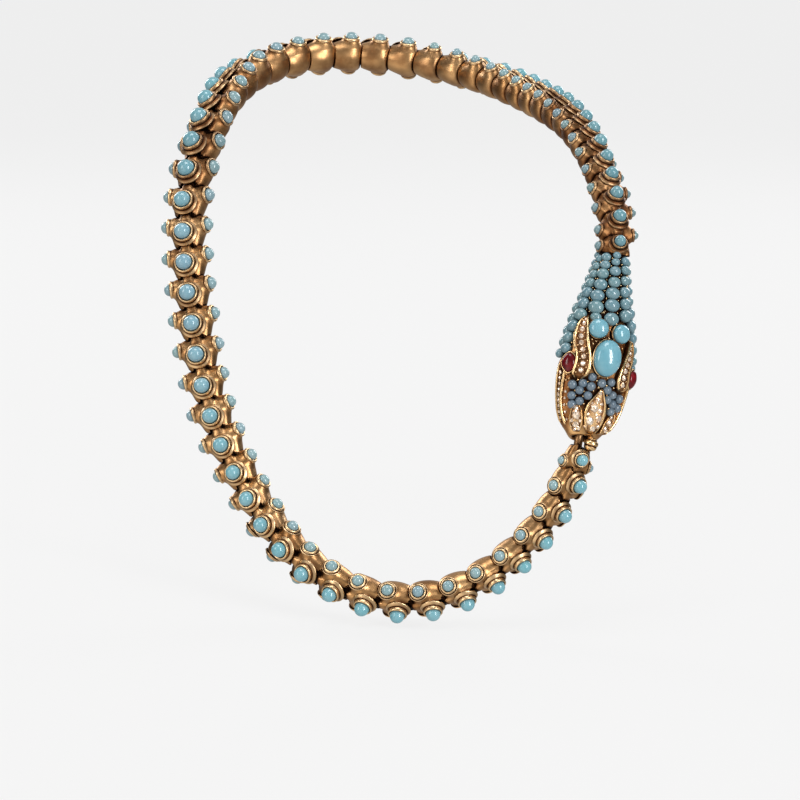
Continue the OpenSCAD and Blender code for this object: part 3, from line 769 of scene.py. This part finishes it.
# where the rows of beads lie: (z, angle, radius)
BEAD_ROWS = {
    "crown": [(-.2, 3, .70), (1.3, 4, .76), (3.1, 2.5, .98), (5.3, 2, 1.10), (7.7, 1.5, 1.24), (10.2, -.5, 1.32), (12.9, -1.5, 1.30)],
    "left": [(.4, 41, .85), (2.1, 39.5, .88), (4.0, 38.5, 1.06), (6.3, 38, 1.12), (8.6, 39, 1.26), (11.0, 35.5, 1.36), (13.1, 30, 0.95)],
    "left_low": [(.9, 73, .72), (2.5, 73.5, .80), (4.2, 73.5, .88), (6.1, 73, 1.0), (8.2, 73.5, 1.1), (10.5, 72, 1.22), (12.9, 67.5, 1.28), (15.4, 76, 1.22),
                 (17.8, 79, 1.22), (20.1, 74, 1.1)],
    "left_under": [(.2, 104, .7), (1.8, 105, .78), (3.4, 106, .84), (5.2, 106, .95), (7.2, 106, 1.02), (9.3, 104, 1.12), (11.6, 101, 1.2), (14.0, 97, 1.2),
                   (16.5, 98.5, 1.16), (18.9, 98, 1.12), (21.3, 92, 0.98)],
    "right": [(.6, -36, .85), (2.5, -36, .90), (4.7, -36.5, 1.0), (6.9, -36.5, 1.08), (9.3, -38, 1.18), (11.8, -37.5, 1.28)],
    "right_low": [(.9, -73, .72), (2.6, -73, .80), (4.4, -73, .88), (6.4, -73, 1.0), (8.5, -73.5, 1.1), (10.9, -72, 1.22), (13.4, -68, 1.26), (15.9, -76, 1.22),
                  (18.2, -79, 1.20), (20.4, -74.5, 1.1)],
    "right_under": [(.2, -104, .7), (1.8, -105, .78), (3.4, -106, .84), (5.2, -106, .95), (7.2, -106, 1.02), (9.5, -104, 1.12), (11.9, -101, 1.2),
                    (14.4, -97.5, 1.2), (16.9, -98, 1.16), (19.3, -98, 1.12), (21.7, -92, 0.98)]}
beads, grains = Bag(), Bag()
for rows in BEAD_ROWS.values():
    for z, a, r in rows:
        v, f, g = ball(r * rng.uniform(1.02, 1.08), 20, 12, 0.84)
        v[:, 0] *= 1.14
        v[:, 1] *= rng.uniform(0.96, 1.0)
        beads.add(head_world(laid(v, z + rng.normal(0, 0.04), a + rng.normal(0, 0.5), 0.28 + 0.10 * r)), f, g, rng.uniform(0, 1))
for one, two in (("crown", "left"), ("crown", "right"), ("left", "left_low"), ("right", "right_low"), ("left_low", "left_under"), ("right_low", "right_under")):
    A, B = BEAD_ROWS[one], BEAD_ROWS[two]
    for P, Q in ((A, B), (B, A)):
        for (z1, a1, r1), (z2, a2, r2) in zip(P, P[1:]):
            z = (z1 + z2) / 2
            over = min(Q, key=lambda q: abs(q[0] - z))
            if abs(over[0] - z) > 1.3:
                continue
            add_ball(grains, z, ((a1 + a2) / 2) * 0.60 + over[1] * 0.40, rng.uniform(0.13, 0.20), 0.30, 8, 5, 1.0)
make("nape_beads", beads, BEADS, ["nape_pave"])

# the two rounds and the oval on the crown, in plain rims
rounds, oval, rims = Bag(), Bag(), Bag()
for z, a, r in ((15.35, 19.5, 2.02), (15.7, -22.5, 1.95)):
    v, f, g = lathe(dome_profile(r, 0.2, 2.0, 2.1, 10), 30)
    rounds.add(head_world(laid(v, z, a, 0.35)), f, g * 0.8, rng.uniform(0.3, 0.6))
    # The rims darken toward the stone's seat and at their foot: painted shade, with patina.
    v, f, g = lathe([(0, -0.4, 1), (r + 0.20, -0.4, 0.9), (r + 0.18, 0.15, 0.5), (r + 0.13, 0.34, 0.15), (r + 0.07, 0.38, 0.2), (r + 0.02, 0.34, 0.7),
                     (r + 0.01, 0.2, 1), (0, 0.1, 1)], 30)
    rims.add(head_world(laid(v, z, a, 0.35)), f, g, 0.5)
v, f, g = lathe(dome_profile(1.0, 0.2, 2.9, 2.25, 14), 44)
v[:, 0] *= 2.84; v[:, 1] *= 3.74
oval.add(head_world(laid(v, 21.0, -1.0, 0.55)), f, g * 0.8, 0.45)
# The oval's rim darkens likewise toward the seat: painted shade, with patina.
v, f, g = lathe([(0, -0.6, 1), (3.02, -0.6, 0.9), (3.0, 0.1, 0.5), (2.94, 0.3, 0.15), (2.87, 0.34, 0.2), (2.81, 0.28, 0.7), (2.8, 0.2, 1), (0, 0.1, 1)], 44)
ang = np.arctan2(v[:, 1], v[:, 0]); v[:, 1] += np.sin(ang) * np.where(np.hypot(v[:, 0], v[:, 1]) > 0.1, 1.0, 0)
rims.add(head_world(laid(v, 21.0, -1.0, 0.55)), f, g, 0.5)
make("crown_round_stones", rounds, CROWN, ["crown_rounds"], sharp=60)
make("crown_oval_stone", oval, CROWN, ["crown_oval"], sharp=60)

# the brow bands: two raised edges with a row of rose-cut stones between
brow, sparks = Bag(), Bag()
# The third column darkens the band's foot and the floor between the raised edges: painted shade, with patina; the edges
# stay light.
BAND = [(0.0, -0.1, 0.8), (0.0, 0.9, 0.5), (0.02, 1.30, 0.1), (0.07, 1.46, 0.0), (0.14, 1.44, 0.0), (0.18, 1.22, 0.3), (0.21, 1.04, 0.6), (0.5, 1.02, 0.4),
        (0.79, 1.04, 0.6), (0.82, 1.22, 0.3), (0.86, 1.44, 0.0), (0.93, 1.46, 0.0), (0.98, 1.30, 0.1), (1.0, 0.9, 0.5), (1.0, -0.1, 0.8)]
OUTER = {1: [(12.7, 45.5), (14.0, 56), (15.5, 60.5), (17.6, 61.0), (19.1, 56.5), (20.3, 49), (21.6, 44.8), (23.2, 44.8), (25.0, 46.5), (26.1, 41)],
         -1: [(16.2, -46.5), (17.4, -52), (18.8, -54), (20.4, -52), (21.8, -47.5), (23.2, -45.5), (24.8, -46.5), (26.4, -46.5), (27.3, -41)]}
INNER = {1: [(12.7, 44.5), (14.4, 38.5), (16.6, 34), (18.3, 29), (20.0, 24.0), (21.8, 20.0), (23.5, 18.5), (25.1, 21.5), (26.1, 31)],
         -1: [(16.2, -45.5), (17.8, -41), (19.4, -36.5), (20.8, -31.5), (22.3, -26.5), (23.8, -23.5), (25.4, -23.5), (26.7, -27), (27.3, -34)]}
for s in (1, -1):
    outer, inner = [(z, abs(a)) for z, a in OUTER[s]], [(z, abs(a)) for z, a in INNER[s]]
    strip(brow, [(z, s * a) for z, a in outer], [(z, s * a) for z, a in inner], BAND, 60)
    O, I = smooth_line(outer, 60), smooth_line(inner, 60)
    M = (O + I) / 2
    width = np.linalg.norm(skin(O[:, 0], O[:, 1], 1) - skin(I[:, 0], I[:, 1], 1), axis=1)
    M3 = skin(M[:, 0], M[:, 1], 1)
    run = np.concatenate([[0], np.cumsum(np.linalg.norm(np.diff(M3, axis=0), axis=1))])
    at = 1.1
    while at < run[-1] - 0.7:
        r = min(0.60, 0.22 * float(np.interp(at, run, width)))
        z, a = float(np.interp(at, run, M[:, 0])), float(np.interp(at, run, M[:, 1]))
        add_rose(sparks, z, s * a, r, 1.05)
        at += r
        z, a = float(np.interp(at + 0.09, run, M[:, 0])), float(np.interp(at + 0.09, run, M[:, 1]))
        w = float(np.interp(at, run, width))
        for side in (-1, 1):
            O1 = np.array([np.interp(at + 0.09, run, O[:, i]) for i in (0, 1)])
            q = np.array([z, a]) + side * (O1 - [z, a]) * 0.45
            add_ball(grains, q[0], s * q[1], 0.17, 1.08, 7, 4)
        at += r * 0.55 + 0.50
make("brow_band_gold", brow, RIM_GOLD, ["brow_bands"], sharp=55)

# the eyes
eyes = Bag()
for z, a, w, l in ((23.0, 54.6, 1.52, 1.98), (24.2, -59.6, 1.5, 1.95)):
    v, f, g = lathe(dome_profile(1.0, 0.1, 1.25, 2.1, 9), 28)
    t = np.arctan2(v[:, 1], v[:, 0]); rr = np.hypot(v[:, 0], v[:, 1])
    nav = 1 - 0.09 * np.abs(np.sin(2 * t)) ** 1.2
    v[:, 0] = rr * nav * np.cos(t) * w; v[:, 1] = rr * nav * np.sin(t) * l
    eyes.add(head_world(laid(v, z, a, 0.45, 8 * np.sign(a))), f, g * 0.7, 0.5)
    # The eye rims darken likewise toward the seat: painted shade, with patina.
    v, f, g = lathe([(0, -0.6, 1), (1.0, -0.6, 0.8), (0.98, 0.1, 0.3), (0.9, 0.28, 0.0), (0.78, 0.3, 0.0), (0.69, 0.18, 0.4), (0.66, 0.0, 1), (0, 0.0, 1)], 28)
    t = np.arctan2(v[:, 1], v[:, 0]); rr = np.hypot(v[:, 0], v[:, 1])
    nav = 1 - 0.09 * np.abs(np.sin(2 * t)) ** 1.2
    far = np.where(rr > 0.1, 1, 0)
    v[:, 0] = (far * (w - 0.62) + rr) * nav * np.cos(t) * 1.0
    v[:, 1] = (far * (l - 0.62) + rr) * nav * np.sin(t)
    rims.add(head_world(laid(v, z, a, 0.55, 8 * np.sign(a))), f, g, 0.5)

# slate beads on the snout
snout = Bag()
for z, a in ((27.3, 44), (26.7, 26.5), (25.2, 13.5), (28.2, 30.5), (27.1, 13.0), (29.5, 43.5), (29.0, 15.5), (30.4, 28.0), (31.3, 41.5), (26.1, -2.5), (25.6, -17.5),
             (27.3, -14), (28.1, -26.0), (29.2, -19), (29.9, -31.5), (28.6, -43.5), (31.5, -33), (30.5, -46.5)):
    add_ball(snout, z, a, rng.uniform(0.88, 0.97), 0.30, 16, 9, 0.9)
for z, a in ((27.1, 1.5), (25.8, 6), (26.2, 51), (27.9, 51), (28.4, 38), (26.3, 20), (26.2, 35), (28.3, 22.5), (29.4, 36.5), (29.3, 23), (29.6, 11), (27.9, 8), (26.6, -24),
             (27.9, -25), (24.9, 4.5), (24.9, -9.5), (26.4, -10.5), (28.4, -16), (28.3, -38), (29.9, -40), (30.0, -27), (25.7, -29), (15.2, -1.5), (16.9, -1.5),
             (17.7, 27.5), (17.9, 19.5), (18.5, 24.5), (18.4, -30), (13.6, 11), (13.8, -14), (17.3, -52.5), (11.9, 16), (20.9, 51), (18.9, 64.5), (23.6, 66),
             (25.4, 57), (26.6, 57.5), (21.0, 58), (19.8, 63), (25.6, -56), (21.2, -59), (19.8, -63), (31.4, 52), (31.3, -42), (30.8, 20), (30.9, -25.5)):
    add_ball(grains, z, a, rng.uniform(0.19, 0.26), 0.34, 8, 5)
make("snout_slate_beads", snout, SNOUT, ["snout_pave"])

# the leaf and the petals of the nose
leaf, petals = Bag(), Bag()
# As for the bands: the foot and the floor are darkened as painted shade, with patina; the edges stay light.
BLADE = [(0.0, -0.1, 0.8), (0.0, 0.66, 0.3), (0.02, 0.98, 0.0), (0.07, 1.10, 0.0), (0.12, 1.04, 0.0), (0.15, 0.74, 0.55), (0.3, 0.68, 0.25), (0.5, 0.72, 0.15),
         (0.7, 0.68, 0.25), (0.85, 0.74, 0.55), (0.88, 1.04, 0.0), (0.93, 1.10, 0.0), (0.98, 0.98, 0.0), (1.0, 0.66, 0.3), (1.0, -0.1, 0.8)]
strip(leaf, [(27.0, -3), (29.1, 6.5), (30.6, 14.5), (32.2, 17.5), (34.2, 16.5), (35.6, 12.5), (36.6, 4)],
      [(27.0, -4), (28.9, -11), (30.4, -18), (32.2, -22.0), (34.1, -22.0), (35.6, -18.5), (36.7, -11)], BLADE, 44)
strip(petals, [(31.0, 32.5), (32.0, 42), (33.6, 47), (35.4, 48.5), (36.6, 45)], [(31.0, 31), (31.8, 22.5), (33.4, 18.6), (35.2, 18.6), (36.5, 24)], BLADE, 32)
strip(petals, [(31.7, -37), (32.6, -29), (34.0, -24.5), (35.5, -24), (36.4, -27)], [(31.7, -38.5), (32.7, -45), (34.2, -48), (35.6, -48.5), (36.5, -46)], BLADE, 32)
for z, a, r, al in ((31.3, 1.0, .90, 1.15), (29.6, -1.5, .60, 1.3), (34.0, 5.0, .95, 1.1), (33.3, -11.5, .76, 1.15), (35.5, -5.0, .66, 1), (31.7, -10.0, .52, 1), (28.2, -2.8, .40, 1.3),
                    (32.7, 10.5, .42, 1), (32.6, -4.6, .40, 1), (35.2, 11.5, .42, 1), (34.9, -14.6, .50, 1), (30.4, 6.6, .36, 1), (30.3, -9.4, .36, 1),
                    (33.2, 32, .92, 1.25), (35.2, 33.0, .72, 1), (36.2, 37.5, .42, 1), (35.9, 26, .44, 1), (34.5, 41.8, .46, 1), (31.9, 32, .42, 1.2), (34.3, 23.2, .42, 1),
                    (33.6, -35.5, .66, 1.1), (35.0, -33.0, .56, 1), (35.5, -41, .50, 1), (34.1, -42.5, .42, 1), (32.6, -37, .40, 1)):
    add_rose(sparks, z, a, r, 0.76, al)
for z, a in ((30.7, 4.5), (30.7, -7.5), (32.9, 7.5), (32.8, -3.5), (35.0, 10.0), (34.7, -15.5), (29.2, 0.8), (29.2, -5.0), (34.4, 37), (34.4, 25.5), (32.9, 36.5), (32.9, 24.5), (36.0, 31),
             (33.0, -31.5), (33.1, -41.5), (34.9, -28.5), (34.8, -44.5)):
    add_ball(grains, z, a, 0.15, 0.84, 7, 4)
make("nose_leaf_gold", leaf, RIM_GOLD, ["nose_leaf"], sharp=55)
make("nose_petals_gold", petals, RIM_GOLD, ["side_petals"], sharp=55)

# the rims of the jaw, with a row of small stones below
jaw = Bag()
for s in (1, -1):
    tube(jaw, [(24.6, s * 61, 0.25), (26.0, s * 63.5, 0.3), (28, s * 66, 0.3), (31, s * 69, 0.3), (33.5, s * 67, 0.28), (35.6, s * 62, 0.2)], 0.33, 0.0, 8, 44)
    tube(jaw, [(23.4, s * 82, 0.1), (26.0, s * 85, 0.2), (29, s * 88, 0.2), (32.5, s * 89, 0.2), (35.4, s * 86, 0.15)], 0.24, 0.05, 8, 40)
    for i, z in enumerate(np.linspace(25.2, 34.2, 9)):
        a = float(np.interp(z, [25, 28, 31, 34.5], [73.5, 75.5, 79, 77.5]))
        add_rose(sparks, z, s * a, 0.38, 0.16)
        add_ball(grains, z + 0.56, s * (a - 0.5), 0.14, 0.22, 7, 4)
    for z, a in ((28.9, 57.5), (30.2, 58.5), (31.6, 60), (33.0, 57.5), (34.4, 55.5)):
        add_rose(sparks, z, s * a, 0.30, 0.12)
make("jaw_rim_gold", jaw, RIM_GOLD, ["jaw_rim"])
make("head_grains", grains, RIM_GOLD)
make("head_stone_rims", rims, RIM_GOLD, sharp=55)


def head_shell_bag():
    bag, M = Bag(), 144
    A = np.arange(M) * 360.0 / M
    A = (A + 180) % 360 - 180
    rows, shade_and_patina_rows = [], []
    beads_end = np.interp(np.abs(A), [0, 20, 35, 55, 70, 90, 112, 118, 180], [14.0, 13.8, 13.0, 14.0, 20.6, 22.5, 22.6, -3, -3])
    for z in np.concatenate([np.arange(-0.5, 23.4, 0.4), np.arange(23.5, 35.3, 0.2)]):
        lift, g = np.zeros(M), np.full(M, 0.28)
        # Painted shade under the bead field, on a light patina over the whole shell.
        inside = 1 / (1 + np.exp((z - beads_end) / 0.25))
        inside *= 1 / (1 + np.exp((np.abs(A) - 114.5) / 1.2))
        lift -= 0.35 * inside
        g = np.maximum(g, inside * 0.9)
        # Darker across the face between the crown stones and the brow bands.
        face = np.exp(-((z - 18.5) / 4.5) ** 2) * np.clip(1 - np.abs(A) / 70, 0, 1)
        g = np.maximum(g, 0.8 * face)
        # Painted shade under the slate beads of the snout.
        beaded = np.interp(z, [23.5, 25.5, 30.5, 33], [0, 1, 1, 0]) / (1 + np.exp((np.abs(A) - 52) / 3))
        g = np.maximum(g, 0.68 * beaded)
        edge = np.interp(z, [24.6, 26, 28, 31, 33.5, 35.6], [61, 63.5, 66, 69, 67, 62])
        if z > 24.2:
            # Painted shade in the seam beside the jaw rim and in the holes of the band below it.
            seam = np.exp(-((np.abs(A) - edge - 3.0) / 1.3) ** 2)
            lift -= 0.22 * seam
            g = np.maximum(g, 0.9 * seam)
            band = 1 / (1 + np.exp(-(np.abs(A) - edge - 2) / 0.8)) / (1 + np.exp((np.abs(A) - edge - 17.5) / 0.8))
            holes = 0.5 + 0.5 * np.cos((z - 25.48) * 2 * math.pi / 1.125)
            g = np.maximum(g, band * (0.55 + 0.4 * holes))
            lift -= 0.12 * band * holes
        s = np.clip((z - 29.5) / 6.5, 0, 1)
        p = skin(z, A, lift)
        p[:, 2] -= 0.35 * p[:, 0] * s * s * (3 - 2 * s) * np.clip((z - 33.5) / 1.8, 0, 1)
        rows.append(p); shade_and_patina_rows.append(g)
    # The lip rolls into the mouth; the rising values there paint shade inside it.
    for w, h, z, g in ((4.62, 2.75, 35.75, 0.25), (4.1, 2.58, 36.25, 0.15), (3.55, 2.36, 36.95, 0.1), (3.1, 2.18, 37.45, 0.05), (2.88, 2.06, 37.62, 0.0), (2.66, 1.9, 37.66, 0.0),
                       (2.48, 1.74, 37.55, 0.1), (2.4, 1.65, 37.2, 0.6), (2.4, 1.65, 36.2, 0.9), (2.2, 1.5, 33.0, 1.0)):
        a = np.radians(A)
        p = np.stack([h * np.cos(a), w * np.sin(a), np.full(M, z)], 1)
        p[:, 2] -= 0.35 * p[:, 0]
        rows.append(p); shade_and_patina_rows.append(np.full(M, g))
    n = len(rows)
    v, g = np.concatenate(rows), np.concatenate(shade_and_patina_rows)
    f = [(i * M + j, i * M + (j + 1) % M, (i + 1) * M + (j + 1) % M, (i + 1) * M + j) for i in range(n - 1) for j in range(M)]
    f.append(tuple(range(M))[::-1])
    f.append(tuple((n - 1) * M + j for j in range(M)))
    return bag.add(head_world(v), f, g, 0.5)


make("head_shell_gold", head_shell_bag(), HEAD_GOLD, ["head_shell"], sharp=50)


def rose_stone(name):
    """Rose-cut stone on bright foil."""
    m, nt, b = nodes_of(name)
    t = attribute(nt, "tone")
    n = noise(nt, 900, 3.0)
    c = mix(nt, t, (0.74, 0.58, 0.46), (0.95, 0.86, 0.74))
    c = mix(nt, ramp(nt, n, [(0.45, (0, 0, 0)), (0.7, (1, 1, 1))]), c, (0.52, 0.36, 0.25))
    nt.links.new(c, b.inputs["Base Color"])
    b.inputs["Metallic"].default_value = 0.75
    nt.links.new(math_node(nt, "ADD", math_node(nt, "MULTIPLY", n, 0.10), 0.08), b.inputs["Roughness"])
    return m


def ruby_stone(name):
    m, nt, b = nodes_of(name)
    n = noise(nt, 700, 3.0)
    c = mix(nt, ramp(nt, n, [(0.4, (0, 0, 0)), (0.7, (1, 1, 1))]), (0.065, 0.001, 0.003), (0.16, 0.004, 0.009))
    # Darkened by the vertex values at the foot of each eye: painted shade.
    c = mix(nt, attribute(nt, "shade_and_patina"), c, (0.02, 0.001, 0.002))
    nt.links.new(c, b.inputs["Base Color"])
    b.inputs["IOR"].default_value = 1.5
    b.inputs["Specular IOR Level"].default_value = 0.35
    nt.links.new(math_node(nt, "ADD", math_node(nt, "MULTIPLY", n, 0.06), 0.04), b.inputs["Roughness"])
    return m


make("head_rose_cut_stones", sparks, rose_stone("rose_cut"), smooth=False)
make("ruby_eyes", eyes, ruby_stone("ruby"), ["eyes"], sharp=60)

# the thumb piece: a reeded ball on a bent arm
thumb = Bag()
v, f, g = lathe([(0, -1.52, 0)] + [(1.52 * math.sin(math.pi * i / 40), -1.52 * math.cos(math.pi * i / 40), 0) for i in range(1, 40)] + [(0, 1.52, 0)], 32)
polar = np.arccos(np.clip(v[:, 2] / 1.52, -1, 1))
reed = np.abs(np.sin(polar * 3.5)) ** 0.5
v *= (0.84 + 0.16 * reed)[:, None]
up_axis, right_axis = np.array([-0.015, 0.165, -0.986]), np.array([0.269, -0.949, -0.163])
tilt = math.radians(17)
zz = unit(up_axis * math.cos(tilt) + right_axis * math.sin(tilt))
xx = unit(np.cross(zz, [1.0, 0.2, 0]))
# The reeding's grooves are darkened: painted shade.
thumb.add(head_world(BALL_AT + v @ np.stack([xx, np.cross(zz, xx), zz], 1).T), f, np.clip(1.35 - reed * 1.6, 0, 1), 0.5)
ball_at, knee = BALL_AT, np.array([0.7, -0.9, 38.5])
v, f = rod(head_world(ball_at), head_world(knee), 0.4, 14)
thumb.add(v, f, 0.4, 0.5)
v, f = rod(head_world(knee + np.array([0.35, 0, 0.2])), head_world(np.array([1.05, -0.9, 35.2])), 0.32, 14)
thumb.add(v, f, 0.5, 0.5)
make("thumb_ball", thumb, RIM_GOLD, ["thumb_piece"], "thumb", sharp=60)


# ------------------------------------------------------------------ floor, light and camera
def backdrop():
    rows = [(0.0, 0.0), (0.5, 0.0), (1.5, 0.0), (3.0, 0.0), (3.8, 0.05), (4.5, 0.3), (5.0, 0.8), (5.3, 1.6), (5.3, 4.0)]
    seg, v, f = 64, [(0, 0, 0)], []
    for r, h in rows[1:]:
        for j in range(seg):
            a = 2 * math.pi * j / seg
            v.append((r * math.cos(a), r * math.sin(a), h))
    for j in range(seg):
        f.append((0, 1 + j, 1 + (j + 1) % seg))
    for i in range(len(rows) - 2):
        for j in range(seg):
            a, b = 1 + i * seg, 1 + (i + 1) * seg
            f.append((a + j, b + j, b + (j + 1) % seg, a + (j + 1) % seg))
    low = min(c.z for c in (CAD_BOX[0],)) - 0.0007
    me = bpy.data.meshes.new("floor")
    me.from_pydata([(x, y - 0.055, z + low) for x, y, z in v], [], f)
    me.polygons.foreach_set("use_smooth", np.full(len(me.polygons), True))
    ob = bpy.data.objects.new("floor", me)
    bpy.context.scene.collection.objects.link(ob)
    m, nt, b = nodes_of("floor_pale")
    b.inputs["Base Color"].default_value = (0.06, 0.06, 0.06, 1)
    b.inputs["Roughness"].default_value = 1.0
    b.inputs["Specular IOR Level"].default_value = 0.0
    b.inputs["Emission Color"].default_value = (1, 1, 1, 1)
    b.inputs["Emission Strength"].default_value = 0.82
    me.materials.append(m)
    ob.visible_glossy = False
    return ob


backdrop()
scene = bpy.context.scene
scene.view_settings.view_transform = "Standard"
scene.view_settings.look = "None"

world = bpy.data.worlds.new("studio")
scene.world = world
world.use_nodes = True
nt = world.node_tree
co = nt.nodes.new("ShaderNodeTexCoord")
xyz = nt.nodes.new("ShaderNodeSeparateXYZ")
nt.links.new(co.outputs["Generated"], xyz.inputs[0])
up = math_node(nt, "ADD", math_node(nt, "MULTIPLY", xyz.outputs[2], 0.5), 0.5)
sky = ramp(nt, up, [(0.0, (0.62, 0.60, 0.57)), (0.26, (0.50, 0.48, 0.45)), (0.38, (0.17, 0.16, 0.15)), (0.47, (0.07, 0.065, 0.06)), (0.60, (0.06, 0.055, 0.05)),
                    (0.74, (0.16, 0.155, 0.15)), (0.90, (0.36, 0.355, 0.35)), (1.0, (0.42, 0.42, 0.42))])


def glow(direction, start, full, colour, under):
    """Adds a broad soft patch of light to the surroundings."""
    d = nt.nodes.new("ShaderNodeVectorMath")
    d.operation = "DOT_PRODUCT"
    nt.links.new(co.outputs["Generated"], d.inputs[0])
    d.inputs[1].default_value = unit(np.array(direction, float)).tolist()
    r = ramp(nt, d.outputs["Value"], [(start, (0, 0, 0)), ((start + full) / 2, tuple(0.42 * c for c in colour)), (full, colour)])
    a = nt.nodes.new("ShaderNodeMix")
    a.data_type, a.blend_type = "RGBA", "ADD"
    a.inputs[0].default_value = 1.0
    nt.links.new(under, a.inputs[6])
    nt.links.new(r, a.inputs[7])
    return a.outputs[2]


sky = glow((-0.72, -0.62, -0.32), 0.55, 0.97, (0.95, 0.86, 0.74), sky)
sky = glow((0.55, -0.80, 0.25), 0.70, 0.98, (0.55, 0.53, 0.50), sky)
sky = glow((0.2, 0.9, 0.35), 0.60, 0.98, (0.40, 0.39, 0.38), sky)
nt.links.new(sky, nt.nodes["Background"].inputs[0])
nt.nodes["Background"].inputs[1].default_value = 1.0

CAM = np.array([-101.6, -654.3, 34.6])
LOOK, UP, RIGHT = np.array([0.1710, 0.9698, -0.1736]), np.array([0.0302, 0.1710, 0.9848]), np.array([0.9848, -0.1736, 0.0])
CENTRE = np.array([0, -0.055, -0.055])


def soft_light(name, azimuth, elevation, distance, width, height, power, colour=(1, 1, 1)):
    """azimuth 0 is the camera's side and 90 is the viewer's right."""
    a, e = math.radians(azimuth), math.radians(elevation)
    fwd = unit(np.array([-LOOK[0], -LOOK[1], 0]))
    d = fwd * math.cos(a) * math.cos(e) + RIGHT * math.sin(a) * math.cos(e) + np.array([0, 0, 1]) * math.sin(e)
    data = bpy.data.lights.new(name, "AREA")
    data.shape, data.size, data.size_y = "RECTANGLE", width, height
    data.energy, data.color = power, colour
    ob = bpy.data.objects.new(name, data)
    scene.collection.objects.link(ob)
    z = d
    x = unit(np.cross([0, 0, 1.0], z)) if abs(z[2]) < 0.99 else np.array([1.0, 0, 0])
    y = np.cross(z, x)
    m = Matrix(np.column_stack([x, y, z]).tolist()).to_4x4()
    m.translation = (CENTRE + d * distance).tolist()
    ob.matrix_world = m
    ob.visible_camera = False
    return ob


soft_light("key", 38, 12, 0.9, 0.16, 0.62, 5.5)
soft_light("fill", -55, 20, 1.0, 0.25, 0.6, 3.0, (1.0, 0.97, 0.93))
soft_light("back_right", 140, 25, 1.0, 0.25, 0.6, 4.0)
soft_light("back_left", -140, 25, 1.0, 0.25, 0.6, 4.0)
soft_light("top", 0, 80, 1.0, 0.5, 0.5, 5.0)

cam = bpy.data.cameras.new("camera")
cam.lens, cam.sensor_width, cam.sensor_fit = 126, 36, "AUTO"
cam.clip_start, cam.clip_end = 0.01, 30
cam_ob = bpy.data.objects.new("camera", cam)
scene.collection.objects.link(cam_ob)
m = Matrix(np.column_stack([RIGHT, UP, -LOOK]).tolist()).to_4x4()
m.translation = (CAM * 0.001).tolist()
cam_ob.matrix_world = m
scene.camera = cam_ob
